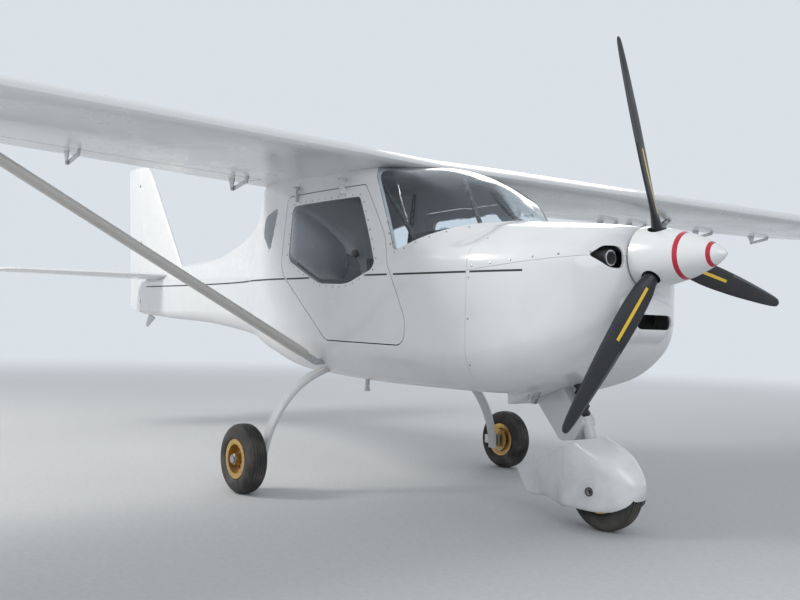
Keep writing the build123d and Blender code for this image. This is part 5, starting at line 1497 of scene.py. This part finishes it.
def buildLegs():
    s = legSettings
    path = np.array(s["path"])
    along = np.concatenate([[0], np.cumsum(np.hypot(*np.diff(path, axis=0).T))])
    places = np.linspace(0, along[-1], 40)
    line = smoothCurve(along, path, places)
    rings = []
    for k, (y, z) in enumerate(line):
        before, after = line[max(0, k - 1)], line[min(len(line) - 1, k + 1)]
        way = Vector((0, after[0] - before[0], after[1] - before[1])).normalized()
        square = way.cross(Vector((1, 0, 0)))
        share = places[k] / along[-1]
        w, t = (low + (high - low) * share for low, high in (s["width"], s["thick"]))
        corners = [(-w / 2, -t / 2), (w / 2, -t / 2), (w / 2, t / 2), (-w / 2, t / 2)]
        outline = roundedOutline(corners, [t * 0.42] * 4, 0.0, 6)
        rings.append([Vector((s["x"], y, z)) + Vector((1, 0, 0)) * a + square * b for a, b in outline])
    leg = skin("legForm", rings)
    body = bodySkin("bodyTool", 0.7, 1.1, 0.0, 0.05)
    combine(leg, [body])
    discard(body)
    bothSides(leg, "mainLeg", "greyPaint", "airframe", 30, "main_leg_{}")


buildLegs()
print("legs made")

# Small fittings and painted lines on the skins
trimSettings = {
    "stripe": [(-2.3, 1.1), (-1.566, 1.087), (0.798, 1.049), (1.348, 1.048), (2.037, 1.0442), (2.29, 1.045)],
    "stripeHalf": 0.0042, "screw": 0.0048, "screwStep": 0.055, "firewallScrews": (0.66, 0.85, 1.02, 1.19),
    "bubble": [(0.684, 1.404), (0.8, 1.392), (0.99, 1.31), (1.19, 1.19), (1.25, 1.1), (1.215, 1.032),
               (1.02, 1.04), (0.706, 1.168)],
    "bubbleRadii": [0.03, 0.06, 0.3, 0.1, 0.06, 0.05, 0.2, 0.06], "bubbleRise": 0.045,
    "knob": (1.3, 1.15), "post": (1.1, 0.29, 0.535, 0.5),
    "knobProfile": [(-0.006, 0), (-0.006, 0.012), (0.0, 0.014), (0.006, 0.014), (0.009, 0.02), (0.02, 0.02),
                    (0.023, 0.016), (0.023, 0)],
}


# Finds where a line straight across the aircraft meets a skin
def sampler(name):
    mesh = bpy.data.objects[name].data
    tree = BVHTree.FromPolygons([v.co for v in mesh.vertices], [tuple(p.vertices) for p in mesh.polygons])

    def sample(x, z, side):
        hit, normal, _, _ = tree.ray_cast(Vector((x, side * 1.2, z)), Vector((0, -side, 0)), 1.15)
        if hit is None:
            return None
        return hit, normal if normal.y * side > 0 else -normal
    return sample


def spaced(line, step, closed=False):
    line = [Vector(p) for p in line]
    if closed:
        line.append(line[0])
    along = np.concatenate([[0], np.cumsum([(b - a).length for a, b in zip(line, line[1:])])])
    count = max(2, int(along[-1] / step))
    places = np.linspace(0, along[-1], count, endpoint=not closed)
    return [tuple(float(np.interp(v, along, [p[i] for p in line])) for i in (0, 1)) for v in places]


def paintedLine(skinName, line, half, side, lift=0.0005):
    sample, rings, strips = sampler(skinName), [], []
    for x, z in line + [(None, None)]:
        spots = [sample(x, z + d, side) for d in (half, -half)] if x is not None else [None]
        if all(spots):
            (high, n), (low, m) = spots
            rings.append([high + n * lift, low + m * lift, low - m * 0.0012, high - n * 0.0012])
            continue
        if len(rings) > 1:
            strips.append(skin("strip", rings))
        rings = []
    return strips


def screwHeads(skinName, spots, side, radius):
    sample, heads = sampler(skinName), []
    profile = [(-0.001, 0), (-0.001, radius), (0.0002, radius), (0.0007, radius * 0.6), (0.0008, 0)]
    for x, z in spots:
        found = sample(x, z, side)
        if found:
            heads.append(turned("head", profile, *found, 12))
    return heads


# Blown panel over the lower part of each door window
def bubble(name, skinName, side):
    t = trimSettings
    sample = sampler(skinName)
    line = [Vector(p) for p in roundedOutline(t["bubble"], t["bubbleRadii"], 0.0, 5)]
    centre = sum(line, Vector((0, 0))) / len(line)
    outer, inner = [], []
    for k in range(15):
        share = 1 - k / 14.3
        rise = t["bubbleRise"] * (1 - share**4)**0.8
        high, low = [], []
        for p in line:
            spot = centre + (p - centre) * share
            found = sample(spot[0], spot[1], side)
            y = found[0].y if found else side * 0.5
            high.append(Vector((spot[0], y + side * (0.0015 + rise), spot[1])))
            low.append(Vector((spot[0], y + side * (0.0002 + rise), spot[1])))
        outer.append(high)
        inner.append(low)
    return skin(name, outer + inner[::-1] + outer[:1], closed=False)


def buildTrim():
    t, o = trimSettings, openingSettings
    stripe = spaced(t["stripe"], 0.02)
    seam = [(x, 1.0352 + (x - 1.9) * 0.0728 / 0.628 + 0.013) for x in np.linspace(2.06, 2.5, 6)]
    base = spaced(roundedOutline(o["screen"][:4], o["screenRadii"][:4], -0.014), t["screwStep"])
    firewall = [(2.03 + 0.014, z) for z in t["firewallScrews"]]
    for side, label, body in ((1, "Left", "door_left_body"), (-1, "Right", "door_right_body")):
        for key, skinName, rider in (("Tail", "tailCone", "airframe"), ("Cabin", "cabinShell", "airframe"),
                                     ("Door", "door" + label, body), ("Cowl", "cowlLower", "airframe")):
            strips = paintedLine(skinName, stripe, t["stripeHalf"], side)
            dress(joined("pinstripe" + key + label, strips), "darkTrim", rider, 40)
        frame = spaced(roundedOutline(o["glass"], o["glassRadii"], -0.013), t["screwStep"], True)
        heads = screwHeads("door" + label, frame, side, t["screw"])
        dress(joined("doorScrews" + label, heads), "bareSteel", body, 40)
        quarter = spaced(roundedOutline(o["quarter"], o["quarterRadii"], -0.012), 0.06, True)
        heads = screwHeads("cabinShell", base + quarter, side, t["screw"])
        heads += screwHeads("cowlLower", [p for p in firewall if p[1] < 1.04], side, t["screw"])
        heads += screwHeads("cowlUpper", seam + [p for p in firewall if p[1] > 1.04], side, t["screw"])
        dress(joined("skinScrews" + label, heads), "bareSteel", "airframe", 40)
        panel = bubble("doorBubble" + label, "glassPane" + label, side)
        dress(panel, "hazyAcrylic", body, 50)
        spot, normal = sampler("glassPane" + label)(*t["knob"], side)
        knob = turned("doorFittings" + label, t["knobProfile"], spot, normal, 32)
        dress(knob, "darkTrim", body, 35)
        x, y, high, low = t["post"]
        parts = [bar("rod", (x, side * y, high + 0.03), (x, side * y, low), 0.011, 20),
                 bar("foot", (x, side * y, low), (x, side * y, low - 0.012), 0.015, 20)]
        post = joined("bellyPost" + label, parts)
        dress(post, "greyPaint", "airframe", 30)


buildTrim()
print("trim made")

# Finish of each carried-over node that shows; the others are stood for by pieces above
nodeFinishes = {
    "castEngine": ("engine_block",), "bareSteel": ("exhaust_pipe", "nose_axle"),
    "darkSteel": ("cabin_frame", "control_sticks", "rudder_pedals"),
    "darkTrim": ("instrument_panel", "nose_spring", "antenna"),
    "greyAlloy": ("main_axle_left", "main_axle_right"), "greyPaint": ("nose_fork", "nose_leg", "tail_skid"),
    "goldAlloy": ("main_left_rim", "main_right_rim", "nose_rim"),
}
finishOf = {name: finish for finish, names in nodeFinishes.items() for name in names}
for name, node in nodes.items():
    node.data.materials.clear()
    node.data.materials.append(materials[finishOf.get(name, "gelCoat")])
